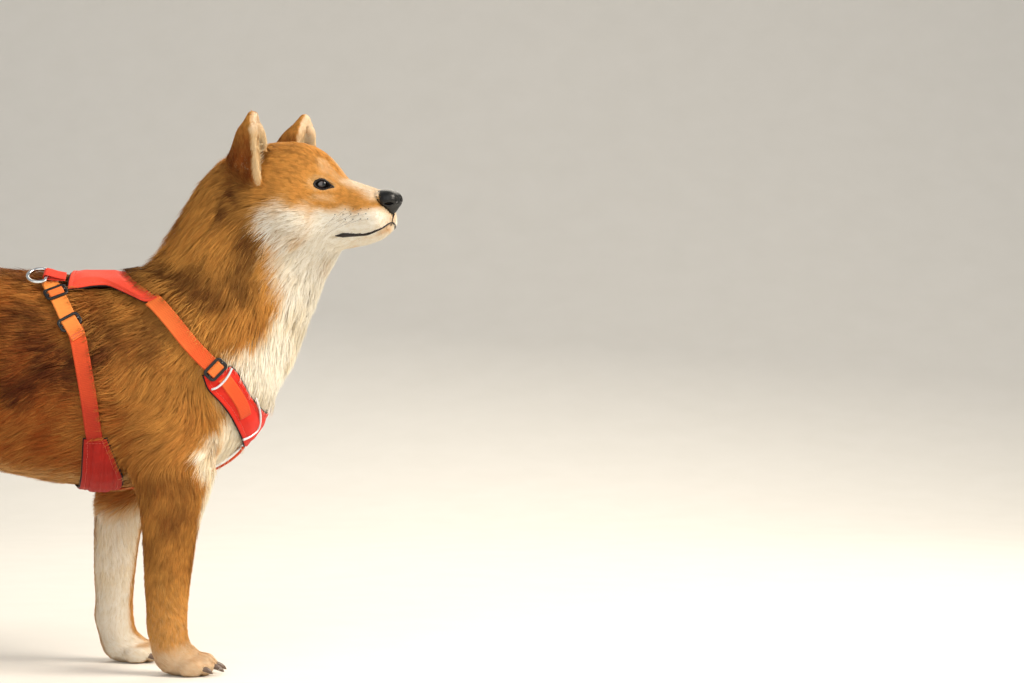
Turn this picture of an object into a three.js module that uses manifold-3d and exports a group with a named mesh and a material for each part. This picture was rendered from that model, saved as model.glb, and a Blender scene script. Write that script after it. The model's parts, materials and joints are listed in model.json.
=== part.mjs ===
// A shiba inu standing in a red walking harness, life size, as a still museum model.
// Millimetres. x runs forward, y to the dog's left and z up from the floor; the model is
// built on the dog's own midline and moved at the end so that the middle of its floor
// rectangle is the origin. The solids show the outer surface of the coat.
import * as THREE from "three";
import { mergeVertices } from "three/addons/utils/BufferGeometryUtils.js";
import Module from "manifold-3d";

const wasm = await Module();
wasm.setup();

// Driving dimensions
const GAP = 0.3; // between pieces that touch
const WITHERS_X = 132; // top of the shoulders, where the nape ends
const WITHERS_Z = 406;
const CHEST_X = 262; // foremost point of the chest
const CHEST_Z = 266;
const HEAD_AT = [335, -26, 481]; // midway between the eyes
const HEAD_YAW = -22.7; // the head looks to the dog's right
const HEAD_ROLL = 3;
const EYE_RADIUS = 10.5;
const LID_RADIUS = 11.7;
const EYE_AT = [-3.7, 19, 0]; // head frame, left eye
const EYE_FACES = 58; // degrees outwards from straight ahead
const WEBBING = 16; // strap width
const BACK_SHIFT = -24; // the girth strap lies further back on the left, behind that elbow

// Small vector helpers on [x, y, z]
const add = (a, b, s = 1) => [a[0] + b[0] * s, a[1] + b[1] * s, a[2] + b[2] * s];
const sub = (a, b) => [a[0] - b[0], a[1] - b[1], a[2] - b[2]];
const dot = (a, b) => a[0] * b[0] + a[1] * b[1] + a[2] * b[2];
const size = (a) => Math.hypot(a[0], a[1], a[2]);
const unit = (a) => add([0, 0, 0], a, 1 / size(a));
const cross = (a, b) => [
  a[1] * b[2] - a[2] * b[1],
  a[2] * b[0] - a[0] * b[2],
  a[0] * b[1] - a[1] * b[0],
];
const mix = (a, b, t) => a + (b - a) * t;
const mix3 = (a, b, t) => [mix(a[0], b[0], t), mix(a[1], b[1], t), mix(a[2], b[2], t)];
const clamp = (v, lo = 0, hi = 1) => Math.min(hi, Math.max(lo, v));
const smooth = (v) => clamp(v) ** 2 * (3 - 2 * clamp(v));
const radians = THREE.MathUtils.degToRad;

// Distance fields: negative inside the coat, about one millimetre per millimetre

// Two forms that run into each other, with the crease rounded over about k
function blend(a, b, k) {
  const h = Math.max(k - Math.abs(a - b), 0) / k;
  return Math.min(a, b) - (h * h * k) / 4;
}

function ellipsoid(p, centre, radii) {
  const d = sub(p, centre);
  const near = Math.hypot(d[0] / radii[0], d[1] / radii[1], d[2] / radii[2]);
  const steep = Math.hypot(d[0] / radii[0] ** 2, d[1] / radii[1] ** 2, d[2] / radii[2] ** 2);
  return steep > 0 ? (near * (near - 1)) / steep : -Math.min(...radii);
}

// A limb or trunk: stations [x, y, z, radius, width / depth], run through by a smooth curve
function limb(stations, steps = 4) {
  const beads = [];
  const last = stations.length - 1;
  for (let i = 0; i < last; i++) {
    const [a, b, c, d] = [i - 1, i, i + 1, i + 2].map((n) => stations[clamp(n, 0, last)]);
    for (let j = 0; j < steps; j++) {
      const t = j / steps;
      beads.push(
        b.map(
          (v, n) =>
            v +
            0.5 * t * (c[n] - a[n] + t * (2 * a[n] - 5 * v + 4 * c[n] - d[n] +
              t * (3 * (v - c[n]) + d[n] - a[n]))),
        ),
      );
    }
  }
  beads.push(stations[last]);
  return beads;
}

function limbDistance(p, beads) {
  let best = Infinity;
  for (let i = 0; i + 1 < beads.length; i++) {
    const a = beads[i];
    const b = beads[i + 1];
    const along = sub(b, a);
    const t = clamp(dot(sub(p, a), along) / dot(along, along));
    const off = sub(p, add(a, along, t));
    const wide = mix(a[4], b[4], t);
    best = Math.min(best, Math.hypot(off[0], off[1] / wide, off[2]) - mix(a[3], b[3], t));
  }
  return best;
}

const TRUNK = limb([
  [-128, 0, 300, 84, 0.84],
  [-88, 0, 302, 94, 0.8],
  [-30, 0, 302, 100, 0.77],
  [20, 0, 297, 104, 0.76],
  [80, 0, 288, 108, 0.74],
  [122, 0, 286, 107, 0.74],
  [166, 0, 288, 97, 0.76],
]);

const NECK = limb([
  [196, 0, 318, 86, 0.8],
  [213, 0, 338, 90, 0.76],
  [240, 0, 394, 85, 0.76],
  [262, 0, 439, 82, 0.76],
]);

const TAIL = limb(
  [
    [-150, 0, 350, 26, 1],
    [-182, 2, 386, 29, 1],
    [-196, 6, 430, 34, 1],
    [-176, 11, 470, 39, 1],
    [-134, 18, 483, 41, 1],
    [-98, 28, 458, 37, 1],
    [-88, 38, 426, 27, 1],
    [-98, 44, 402, 11, 1],
  ],
  6,
);

// Each leg: stations down to the pastern, and where its paw stands
const LEGS = {
  fore_right: {
    side: -1,
    paw: [184, -50],
    parting: { y: 58, z: 213, rise: 1.33 },
    lumps: [
      [[153, -56, 200], [13, 12, 20]],
      [[157, -50, 44], [7, 7, 9]],
    ],
    limb: limb([
      [170, -30, 345, 30, 0.6],
      [172, -40, 298, 50, 0.6],
      [177, -48, 245, 50, 0.62],
      [181, -53, 205, 45, 0.66],
      [180, -53, 176, 36, 0.72],
      [177, -52, 142, 29.5, 0.77],
      [175, -50, 104, 25.5, 0.8],
      [174, -50, 72, 22.5, 0.86],
      [175, -50, 48, 20, 0.92],
      [178, -50, 24, 19, 0.95],
      [180, -50, 10, 14, 0.95],
    ]),
  },
  fore_left: {
    side: 1,
    paw: [116, 50],
    parting: { y: 58, z: 196, rise: 1.33 },
    lumps: [
      [[100, 56, 200], [13, 12, 20]],
      [[88, 50, 44], [7, 7, 9]],
    ],
    limb: limb([
      [168, 30, 345, 30, 0.6],
      [164, 40, 298, 50, 0.6],
      [150, 48, 245, 50, 0.62],
      [128, 53, 205, 43, 0.66],
      [117, 53, 176, 33, 0.72],
      [110, 52, 142, 26.5, 0.79],
      [107, 50, 104, 23.5, 0.84],
      [106, 50, 72, 21, 0.9],
      [107, 50, 48, 19.5, 0.94],
      [110, 50, 24, 19, 0.95],
      [112, 50, 10, 14, 0.95],
    ]),
  },
  hind_right: {
    side: -1,
    paw: [-172, -52],
    parting: { y: 50, z: 232, rise: 1 },
    lumps: [[[-196, -52, 122], [9, 9, 15]]],
    limb: limb([
      [-132, -22, 350, 26, 0.5],
      [-140, -44, 296, 60, 0.52],
      [-136, -52, 248, 60, 0.52],
      [-130, -56, 205, 47, 0.58],
      [-140, -56, 168, 34, 0.66],
      [-162, -54, 137, 25, 0.74],
      [-180, -52, 112, 20.5, 0.82],
      [-184, -52, 78, 18, 0.88],
      [-181, -52, 48, 18.5, 0.92],
      [-178, -52, 24, 18.5, 0.95],
      [-176, -52, 10, 14, 0.95],
    ]),
  },
  hind_left: {
    side: 1,
    paw: [-112, 52],
    parting: { y: 50, z: 232, rise: 1 },
    lumps: [[[-140, 52, 122], [9, 9, 15]]],
    limb: limb([
      [-124, 22, 350, 26, 0.5],
      [-130, 44, 296, 60, 0.52],
      [-118, 52, 248, 59, 0.52],
      [-102, 56, 205, 46, 0.58],
      [-102, 56, 168, 34, 0.66],
      [-114, 54, 137, 25, 0.74],
      [-124, 52, 112, 20.5, 0.82],
      [-125, 52, 78, 18, 0.88],
      [-121, 52, 48, 18.5, 0.92],
      [-118, 52, 24, 18.5, 0.95],
      [-116, 52, 10, 14, 0.95],
    ]),
  },
};

// Head frame: x out along the muzzle, y to its left, z up, from midway between the eyes
const headTurn = new THREE.Matrix4().makeRotationZ(radians(HEAD_YAW));
headTurn.multiply(new THREE.Matrix4().makeRotationX(radians(HEAD_ROLL)));
headTurn.setPosition(...HEAD_AT);
const headBack = headTurn.clone().invert();
const fromHead = (p) => new THREE.Vector3(...p).applyMatrix4(headTurn).toArray();
const toHead = (p) => new THREE.Vector3(...p).applyMatrix4(headBack).toArray();
const headDirection = (d) => new THREE.Vector3(...d).transformDirection(headTurn).toArray();

const MUZZLE = limb([
  [-14, 0, -27, 38, 0.96],
  [10, 0, -29, 35, 0.88],
  [25, 0, -29.5, 31, 0.83],
  [37, 0, -29, 27, 0.8],
]);

// Skull, brows, cheeks, muzzle, lips and chin, in the head frame
function headDistance(world) {
  const [x, across, z] = toHead(world);
  const p = [x, Math.abs(across), z];
  let d = ellipsoid(p, [-48, 0, 0], [54, 51, 45.5]);
  d = blend(d, ellipsoid(p, [-39, 0, 0], [42, 38, 38]), 6);
  d = blend(d, ellipsoid(p, [-40, 30, -30], [44, 34, 38]), 16);
  d = blend(d, ellipsoid(p, [-10, 24, -13], [26, 17, 18]), 10);
  d = blend(d, ellipsoid(p, [-13, 16, 11], [13, 12, 8]), 8);
  d = blend(d, limbDistance(p, MUZZLE), 14);
  d = blend(d, ellipsoid(p, [44, 11, -36], [21, 13, 14.5]), 8);
  d = blend(d, ellipsoid(p, [33, 0, -45.5], [25, 12, 11]), 8);
  return blend(d, ellipsoid(p, EYE_AT, [LID_RADIUS, LID_RADIUS, LID_RADIUS]), 4);
}

// Trunk and neck, run into each other
function trunkDistance(p) {
  const d = blend(limbDistance(p, TRUNK), ellipsoid(p, [194, 0, 264], [64, 60, 66]), 20);
  return blend(d, limbDistance(p, NECK), 26);
}

// A leg with its own lumps, such as the point of the hock
function legDistance(p, leg) {
  const d = limbDistance(p, leg.limb);
  return leg.lumps.reduce((sum, [centre, radii]) => blend(sum, ellipsoid(p, centre, radii), 8), d);
}

// Trunk, neck, head and legs, without ears and tail
function bodyDistance(p) {
  let d = blend(trunkDistance(p), headDistance(p), 12);
  for (const leg of Object.values(LEGS)) {
    d = blend(d, legDistance(p, leg), 16);
  }
  return d;
}

function slope(field, p) {
  const h = 0.5;
  return [0, 1, 2].map((n) => {
    const step = [0, 0, 0];
    step[n] = h;
    return (field(add(p, step)) - field(sub(p, step))) / (2 * h);
  });
}

// How far from a point inside the field its surface lies along a direction
function reach(field, from, way, level = 0, stride = 3, far = 260) {
  let inside = 0;
  while (inside < far && field(add(from, way, inside + stride)) < level) inside += stride;
  let outside = inside + stride;
  for (let i = 0; i < 12; i++) {
    const half = (inside + outside) / 2;
    if (field(add(from, way, half)) < level) inside = half;
    else outside = half;
  }
  return (inside + outside) / 2;
}

// Meshes and solids

function geometryOf(points, faces) {
  const g = new THREE.BufferGeometry();
  g.setAttribute("position", new THREE.Float32BufferAttribute(points.flat(), 3));
  g.setIndex(faces.flat());
  return g;
}

function volumeOf(points, faces) {
  return faces.reduce(
    (v, [a, b, c]) => v + dot(points[a], cross(points[b], points[c])) / 6,
    0,
  );
}

// A solid of a closed geometry, with points closer than a thousandth run together
function solidFrom(geometry) {
  const merged = mergeVertices(geometry, 1e-3);
  return new wasm.Manifold(
    new wasm.Mesh({
      numProp: 3,
      vertProperties: merged.attributes.position.array,
      triVerts: new Uint32Array(merged.index.array),
    }),
  );
}

function solidOf(points, faces) {
  const out = volumeOf(points, faces) < 0 ? faces.map(([a, b, c]) => [a, c, b]) : faces;
  return solidFrom(geometryOf(points, out));
}

// A closed surface through rings of equal length, with a fan to a point at each end
function loft(rings, start, end) {
  const n = rings[0].length;
  const points = [...rings.flat(), start, end];
  const faces = [];
  for (let r = 0; r + 1 < rings.length; r++) {
    for (let i = 0; i < n; i++) {
      const [a, b] = [r * n + i, r * n + ((i + 1) % n)];
      faces.push([a, b, b + n], [a, b + n, a + n]);
    }
  }
  const last = (rings.length - 1) * n;
  for (let i = 0; i < n; i++) {
    const next = (i + 1) % n;
    faces.push([next, i, points.length - 2], [last + i, last + next, points.length - 1]);
  }
  return solidOf(points, faces);
}

// A ring where the field's surface crosses the plane of u and v through the centre
function ring(field, centre, u, v, count, level = 0) {
  return Array.from({ length: count }, (_, i) => {
    const turn = (2 * Math.PI * i) / count;
    const way = add(add([0, 0, 0], u, Math.cos(turn)), v, Math.sin(turn));
    return add(centre, way, reach(field, centre, way, level));
  });
}

// A closed stretch of the field between the first and last of some planes
function stretch(field, planes, count, level = 0, start = null, end = null) {
  const rings = planes.map(({ at, u, v }) => ring(field, at, u, v, count, level));
  return loft(rings, start ?? planes[0].at, end ?? planes.at(-1).at);
}

// A three.js geometry placed by a matrix, as a solid
function placed(geometry, matrix = new THREE.Matrix4()) {
  const bare = new THREE.BufferGeometry();
  bare.setAttribute("position", geometry.attributes.position);
  if (geometry.index) bare.setIndex(geometry.index);
  return solidFrom(bare.applyMatrix4(matrix));
}

// A matrix that stands a piece's own x, y and z axes along three directions at a place
function frameAt(at, x, y, z) {
  return new THREE.Matrix4()
    .makeBasis(new THREE.Vector3(...x), new THREE.Vector3(...y), new THREE.Vector3(...z))
    .setPosition(...at);
}

function ball(centre, radii, across = 12, down = 8) {
  const g = new THREE.SphereGeometry(1, across, down);
  const m = new THREE.Matrix4().makeScale(...radii).setPosition(...centre);
  return placed(g, m);
}

// All that lies below a plane, as a large block with its top face on it
function blockBelow(point, normal, across, deep, forward) {
  const n = unit(normal);
  const x = unit(sub(forward, add([0, 0, 0], n, dot(forward, n))));
  const g = new THREE.BoxGeometry(across, across, deep);
  return placed(g, frameAt(add(point, n, -deep / 2), x, cross(n, x), n));
}

const largest = (solid) =>
  solid.decompose().reduce((a, b) => (b.volume() > a.volume() ? b : a));

const union = (pieces) => pieces.reduce((a, b) => a.add(b));

// Materials
const finish = (color, roughness, metalness = 0) =>
  new THREE.MeshStandardMaterial({ color, roughness, metalness });
const coatRed = finish(0xb9702f, 0.9);
const coatCream = finish(0xe6d3ac, 0.9);
const leatherBlack = finish(0x1c1a1b, 0.45);
const wetBrown = finish(0x21130c, 0.05);
const redCloth = finish(0xd13a26, 0.8);
const orangeWebbing = finish(0xe2672b, 0.75);
const blackPlastic = finish(0x17181b, 0.4);
const polishedSteel = finish(0xc9ccd2, 0.2, 1);

const dog = new THREE.Group();

function geometryFrom(solid) {
  const made = solid.getMesh();
  const points = new Float32Array(made.numVert * 3);
  for (let i = 0; i < made.numVert; i++) {
    points.set(made.vertProperties.subarray(i * made.numProp, i * made.numProp + 3), i * 3);
  }
  const g = new THREE.BufferGeometry();
  g.setAttribute("position", new THREE.BufferAttribute(points, 3));
  return g.setIndex(new THREE.BufferAttribute(made.triVerts, 1));
}

// One named piece: the largest closed surface of a solid, with no edge too short to keep
function node(name, solid, material) {
  const clean = largest(solidFrom(geometryFrom(largest(solid))));
  const g = geometryFrom(clean);
  g.computeVertexNormals();
  const mesh = new THREE.Mesh(g, material);
  mesh.name = name;
  dog.add(mesh);
}

// Planes that the body is parted on: a middle, the way down in the plane and the way across
const SIDE = [0, 1, 0];
const UP = [0, 0, 1];

function slanted(at, turn) {
  return { at, u: [Math.sin(turn), 0, -Math.cos(turn)], v: SIDE };
}

function moved(plane, along) {
  return { ...plane, at: add(plane.at, cross(plane.u, plane.v), along) };
}

const NAPE = [212, 0, 503]; // back of the skull
const THROAT = [332, 0, 392];
const FAN_ANGLE = Math.atan2(CHEST_X - WITHERS_X, WITHERS_Z - CHEST_Z);
const FAN_ABOVE = 50; // the trunk's last rings fan round a point this far above the withers
const FAN_REACH = 148;
const FAN_AT = add([WITHERS_X, 0, WITHERS_Z], slanted(null, FAN_ANGLE).u, -FAN_ABOVE);
const NECK_ROOT = slanted(add(FAN_AT, slanted(null, FAN_ANGLE).u, FAN_REACH), FAN_ANGLE);
const HEAD_ANGLE = Math.atan2(THROAT[0] - NAPE[0], NAPE[2] - THROAT[2]);
const HEAD_ROOT = slanted(mix3(NAPE, THROAT, 0.5), HEAD_ANGLE);

// An upright plane across the trunk, or one of the fan where `turn` runs from 0 to 1
function trunkPlane(x, turn = 0) {
  const plane = slanted(null, turn * FAN_ANGLE);
  return { ...plane, at: add([Math.min(x, FAN_AT[0]), 0, FAN_AT[2]], plane.u, FAN_REACH) };
}

// Trunk, in three lengths
const TRUNK_SIDES = 30;
const LOIN_X = -56;
const RIB_X = 34;
const rumpEnd = -128 - reach(trunkDistance, [-128, 0, 300], [-1, 0, 0]);
const RUMP_STEPS = 9;
const rumpPlanes = Array.from({ length: RUMP_STEPS }, (_, i) => {
  const turn = (Math.PI / 2) * ((i + 0.6) / RUMP_STEPS);
  return trunkPlane(mix(-128, rumpEnd, Math.cos(turn)));
});
rumpPlanes.push(...[-128, -104, -80].map((x) => trunkPlane(x)));
const loinPlanes = [-38, -20, -2, 16].map((x) => trunkPlane(x));
const chestPlanes = [48, 66, 84, FAN_AT[0]].map((x) => trunkPlane(x));
for (let i = 1; i < 10; i++) chestPlanes.push(trunkPlane(FAN_AT[0], i / 10));

function trunkSolids(level = 0) {
  const half = GAP / 2;
  const cut = (planes, start) => stretch(trunkDistance, planes, TRUNK_SIDES, level, start);
  return {
    rump: cut([...rumpPlanes, trunkPlane(LOIN_X - half)], [rumpEnd - level, 0, 300]),
    loin: cut([trunkPlane(LOIN_X + half), ...loinPlanes, trunkPlane(RIB_X - half)]),
    chest: cut([trunkPlane(RIB_X + half), ...chestPlanes, moved(NECK_ROOT, -half)]),
  };
}

const trunk = trunkSolids();
const clearOfTrunk = union(Object.values(trunkSolids(GAP)));

// Neck
const NECK_SIDES = 32;
const NECK_STEPS = 6;

function neckSolid(level = 0) {
  const planes = Array.from({ length: NECK_STEPS + 1 }, (_, i) => {
    const t = i / NECK_STEPS;
    return slanted(mix3(NECK_ROOT.at, HEAD_ROOT.at, t), mix(FAN_ANGLE, HEAD_ANGLE, t));
  });
  planes[0] = moved(planes[0], GAP / 2);
  planes[NECK_STEPS] = moved(planes[NECK_STEPS], -GAP / 2);
  return stretch(bodyDistance, planes, NECK_SIDES, level);
}

// Head: rings that swing round a point under the throat from the neck's end until they are
// square to the muzzle, then run along it
const HEAD_SIDES = 36;
const SWING_STEPS = 11;
const MUZZLE_STEPS = 12;
const SWING_AT = add(THROAT, HEAD_ROOT.u, 10.5);
const SQUARE_X = 2; // head frame: where the rings become square to the muzzle
const MUZZLE_X = 69; // and where they end, behind the tip of the nose

function headSolid(level = 0) {
  const u = headDirection([0, 0, -1]);
  const v = headDirection([0, 1, 0]);
  const square = fromHead([SQUARE_X, 0, -27]);
  const below = fromHead([SQUARE_X, 0, toHead(SWING_AT)[2]]);
  const planes = [moved(HEAD_ROOT, GAP / 2)];
  for (let i = 1; i < SWING_STEPS; i++) {
    const t = Math.sin((Math.PI / 2) * (i / SWING_STEPS));
    const down = unit(mix3(HEAD_ROOT.u, u, t));
    const pivot = mix3(SWING_AT, below, t);
    const high = mix(size(sub(HEAD_ROOT.at, SWING_AT)), size(sub(square, below)), t);
    const across = mix3(SIDE, v, t);
    planes.push({
      at: add(pivot, down, -high),
      u: down,
      v: unit(add(across, down, -dot(across, down))),
    });
  }
  for (let i = 0; i <= MUZZLE_STEPS; i++) {
    const t = Math.sin(radians(62) * (i / MUZZLE_STEPS)) / Math.sin(radians(62));
    planes.push({ at: fromHead([mix(SQUARE_X, MUZZLE_X, t), 0, mix(-27, -31, t)]), u, v });
  }
  const tip = fromHead([MUZZLE_X + 1.5 + level, 0, -31]);
  return stretch(bodyDistance, planes, HEAD_SIDES, level, null, tip);
}

const inHead = (solid) => solid.transform(headTurn.elements);

// Eyes, sunk in round sockets behind lids that leave an almond opening
const ALMOND = [8.8, 5.8, 4.4]; // half its width, and its heights above and below the middle
const almond = new THREE.Shape();
almond.moveTo(-ALMOND[0], 0);
almond.quadraticCurveTo(0, -2 * ALMOND[2], ALMOND[0], 0);
almond.quadraticCurveTo(0, 2 * ALMOND[1], -ALMOND[0], 0);

function headBall(at, radii, across = 14, down = 10) {
  return inHead(ball(at, radii, across, down));
}

const eyeBall = (at, radius) => headBall(at, [radius, radius, radius], 14, 9);
let head = headSolid();
const eyes = {};
for (const [name, side] of [["right", -1], ["left", 1]]) {
  const at = [EYE_AT[0], side * EYE_AT[1], EYE_AT[2]];
  const turn = radians(EYE_FACES);
  const out = [Math.cos(turn), side * Math.sin(turn), 0];
  const along = unit([side * -Math.sin(turn), Math.cos(turn), side * 0.14]);
  const cutting = { depth: 14, bevelEnabled: false, curveSegments: 5 };
  const opening = new THREE.ExtrudeGeometry(almond, cutting);
  const cut = placed(opening, frameAt(add(at, out, 4.5), along, cross(out, along), out));
  head = head.subtract(inHead(cut)).subtract(eyeBall(at, EYE_RADIUS + GAP));
  eyes[name] = eyeBall(at, EYE_RADIUS);
}

// Mouth: a groove from corner to corner, under the upper lip and round the front
const MOUTH_TURN = 120; // degrees to each side, seen from above a point inside the muzzle
const MOUTH_STEPS = 20;
const inHeadFrame = (p) => headDistance(fromHead(p));
const mouthRings = Array.from({ length: MOUTH_STEPS + 1 }, (_, i) => {
  const degrees = mix(-MOUTH_TURN, MOUTH_TURN, i / MOUTH_STEPS);
  const way = [Math.cos(radians(degrees)), Math.sin(radians(degrees)), 0];
  const round = Math.abs(degrees);
  const drop = mix(-40, -51, smooth(round / 62)) - Math.max(0, round - 80) / 30;
  const from = [30, 0, drop];
  const lip = reach(inHeadFrame, from, way, 0, 1);
  const corner = (beyond, rise) => add(add(from, way, lip + beyond), UP, rise);
  return [corner(4, 1.2), corner(-5, 0.4), corner(-5, -0.4), corner(4, -1.2)];
});
const middleOf = (points) => add([0, 0, 0], points.reduce((a, b) => add(a, b)), 1 / points.length);
const mouth = loft(mouthRings, middleOf(mouthRings[0]), middleOf(mouthRings.at(-1)));
head = head.subtract(inHead(mouth));

// Nose: a leathery pad with a pair of comma nostrils, let into the end of the muzzle
function noseDistance(p) {
  const q = [p[0], Math.abs(p[1]), p[2]];
  let d = ellipsoid(q, [58, 0, -15], [14, 13, 10]);
  d = blend(d, ellipsoid(q, [63.5, 6.5, -16], [8.5, 7.5, 8]), 4);
  return blend(d, ellipsoid(q, [63, 0, -24], [6.5, 6, 6.5]), 5);
}

function noseSolid(level) {
  const ends = [-1, 1].map((way) => reach(noseDistance, [60, 0, -18], [way, 0, 0], level, 1));
  const [back, front] = [60 - ends[0], 60 + ends[1]];
  const steps = 8;
  const planes = Array.from({ length: steps }, (_, i) => {
    const turn = Math.PI * ((i + 0.5) / steps);
    const x = mix(back, front, (1 - Math.cos(turn)) / 2);
    return { at: [x, 0, -18], u: [0, 0, -1], v: SIDE };
  });
  return stretch(noseDistance, planes, 18, level, [back, 0, -18], [front, 0, -18]);
}

let nose = noseSolid(0);
for (const side of [-1, 1]) {
  nose = nose.subtract(ball([72.5, side * 5, -16.5], [5.5, 2.6, 3.4], 8, 5));
  nose = nose.subtract(ball([66.5, side * 11.5, -19.5], [6, 5, 1.4], 8, 4));
}
head = head.subtract(inHead(noseSolid(GAP)));
nose = inHead(largest(nose));

// Ears: upright cups, open to the front, on the corners of the skull
const EAR_TIP = [-56, 56.5, 74];
const EAR_EDGES = {
  inner: [[-55, 33, 36], [-58, 42, 58], EAR_TIP],
  back: [[-96, 43, 24], [-76, 54, 54], EAR_TIP],
  outer: [[-50, 60, 0], [-50, 64, 46], EAR_TIP],
};
const EAR_ROUND = 3; // of the tip
const EAR_ROWS = 9;
const EAR_SIDES = 10;

const EAR_ROOT = [-70, 26, 6]; // the walls run on into the skull towards this point

function earEdge([a, b, c], t) {
  if (t < 0) return mix3(a, EAR_ROOT, -t * 1.6);
  return mix3(mix3(a, b, t), mix3(b, c, t), t);
}

function earRow(t, inside) {
  const spread = unit(sub(EAR_EDGES.outer[0], EAR_EDGES.inner[0]));
  const roundTip = EAR_ROUND * Math.max(0, t) ** 3;
  let inner = add(earEdge(EAR_EDGES.inner, t), spread, -roundTip);
  let outer = add(earEdge(EAR_EDGES.outer, t), spread, roundTip);
  const middle = mix3(inner, outer, 0.5);
  let back = add(earEdge(EAR_EDGES.back, t), [-1, 0, 0.3], roundTip * 0.8);
  if (inside) {
    const edge = Math.min(0.22, 1.7 / size(sub(outer, inner)));
    const wall = Math.min(0.5, 5 / size(sub(back, middle)));
    [inner, outer] = [mix3(inner, outer, edge), mix3(outer, inner, edge)];
    back = mix3(back, middle, wall);
  }
  const half = add([0, 0, 0], sub(outer, inner), 0.5);
  const centre = mix3(inner, outer, 0.5);
  const bend = radians(100);
  return Array.from({ length: EAR_SIDES + 1 }, (_, i) => {
    const turn = mix(-bend, bend, i / EAR_SIDES);
    const across = Math.sin(turn) / Math.sin(bend);
    const deep = (Math.cos(turn) - Math.cos(bend)) / (1 - Math.cos(bend));
    return add(add(centre, half, across), sub(back, centre), deep);
  });
}

// A closed wall between two grids of points of the same size
function wall(outer, inner) {
  const rows = outer.length;
  const cols = outer[0].length;
  const points = [...outer.flat(), ...inner.flat()];
  const at = (row, col, deep) => deep * rows * cols + row * cols + col;
  const faces = [];
  const quad = (a, b, c, d) => faces.push([a, b, c], [a, c, d]);
  for (let r = 0; r + 1 < rows; r++) {
    for (let c = 0; c + 1 < cols; c++) {
      quad(at(r, c, 0), at(r, c + 1, 0), at(r + 1, c + 1, 0), at(r + 1, c, 0));
      quad(at(r, c, 1), at(r + 1, c, 1), at(r + 1, c + 1, 1), at(r, c + 1, 1));
    }
    quad(at(r, 0, 0), at(r + 1, 0, 0), at(r + 1, 0, 1), at(r, 0, 1));
    quad(at(r + 1, cols - 1, 0), at(r, cols - 1, 0), at(r, cols - 1, 1), at(r + 1, cols - 1, 1));
  }
  for (let c = 0; c + 1 < cols; c++) {
    quad(at(0, c + 1, 0), at(0, c, 0), at(0, c, 1), at(0, c + 1, 1));
    quad(at(rows - 1, c, 0), at(rows - 1, c + 1, 0), at(rows - 1, c + 1, 1), at(rows - 1, c, 1));
  }
  return solidOf(points, faces);
}

const clearOfHead = headSolid(GAP).add(neckSolid(GAP));
const ears = {};
for (const [name, side] of [["right", -1], ["left", 1]]) {
  const grid = (inside) =>
    Array.from({ length: EAR_ROWS + 1 }, (_, i) =>
      earRow(mix(-0.3, 1, i / EAR_ROWS), inside).map(([x, y, z]) => [x, side * y, z]),
    );
  ears[name] = inHead(wall(grid(false), grid(true))).subtract(clearOfHead);
}

// Tail, carried in a curl over the back: a core, and the locks of the brush lying along it
const TAIL_SIDES = 7;
const TAIL_PART = 15; // the bead at which it is parted
const TAIL_CORE = 0.5; // how far out to the locks' tips the core reaches

function along(beads, i) {
  const [a, b] = [beads[Math.max(0, i - 2)], beads[Math.min(beads.length - 1, i + 2)]];
  return unit(sub(b, a));
}

// A plane square to a limb at one of its beads
function square(beads, i, shift = 0) {
  const way = along(beads, i);
  const u = unit([-way[2], 0, way[0]]);
  return { at: add(beads[i].slice(0, 3), way, shift), u, v: unit(cross(way, u)) };
}

// A place beside the tail: which bead it is level with, which way round, and how far out to
// the tips of the brush. Past the last bead it runs on the same way.
function besideTail(bead, turn, share) {
  const last = TAIL.length - 1;
  const { at, u, v } = square(TAIL, Math.min(bead, last), Math.max(0, bead - last) * BEAD_STEP);
  const out = add(add([0, 0, 0], u, Math.cos(turn)), v, Math.sin(turn));
  return { at: add(at, out, TAIL[Math.min(bead, last)][3] * share), out };
}

// A flat lock that tapers to its tip, with a low ridge along its outer face
function lock(stations, tip) {
  const centres = [...stations.map((s) => s.at), tip];
  const rings = stations.map(({ at, out, wide, thick }, i) => {
    const side = unit(cross(sub(centres[i + 1], at), out));
    return [add(at, side, wide / 2), add(at, side, -wide / 2), add(at, out, thick)];
  });
  return loft(rings, stations[0].at, tip);
}

// A repeatable run of numbers between 0 and 1
function dice(seed) {
  let state = seed;
  return () => {
    state = (state * 16807) % 2147483647;
    return state / 2147483647;
  };
}

const BEAD_STEP = 7; // between the tail's beads
const BRUSH_FROM = 4; // bead of the first row of locks
const BRUSH_STEP = 5; // beads between rows
const BRUSH_ROWS = 7;
const BRUSH_AROUND = 5; // locks in a row
const BRUSH_WIDE = 0.92; // a lock's width for each millimetre of the tail's radius
const BRUSH_THICK = 5;
const BRUSH_TIP = 8; // beads from a lock's root to its tip

function brush() {
  const chance = dice(11);
  const locks = [];
  for (let row = 0; row < BRUSH_ROWS; row++) {
    const bead = BRUSH_FROM + row * BRUSH_STEP;
    for (let n = 0; n < BRUSH_AROUND; n++) {
      const turn = (2 * Math.PI * (n + row / 2 + 0.3 * chance())) / BRUSH_AROUND;
      const wide = BRUSH_WIDE * TAIL[bead][3] * mix(0.9, 1.1, chance());
      const reachOut = mix(0.93, 1, chance());
      const stations = [[0, 0.36, 0.8, 1], [3, 0.68, 1, 0.8], [6, 0.88, 0.62, 0.5]].map(
        ([on, share, w, t]) => ({
          ...besideTail(bead + on, turn, share),
          wide: wide * w,
          thick: BRUSH_THICK * t,
        }),
      );
      locks.push(lock(stations, besideTail(bead + BRUSH_TIP, turn, reachOut).at));
    }
  }
  return union(locks);
}

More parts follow.
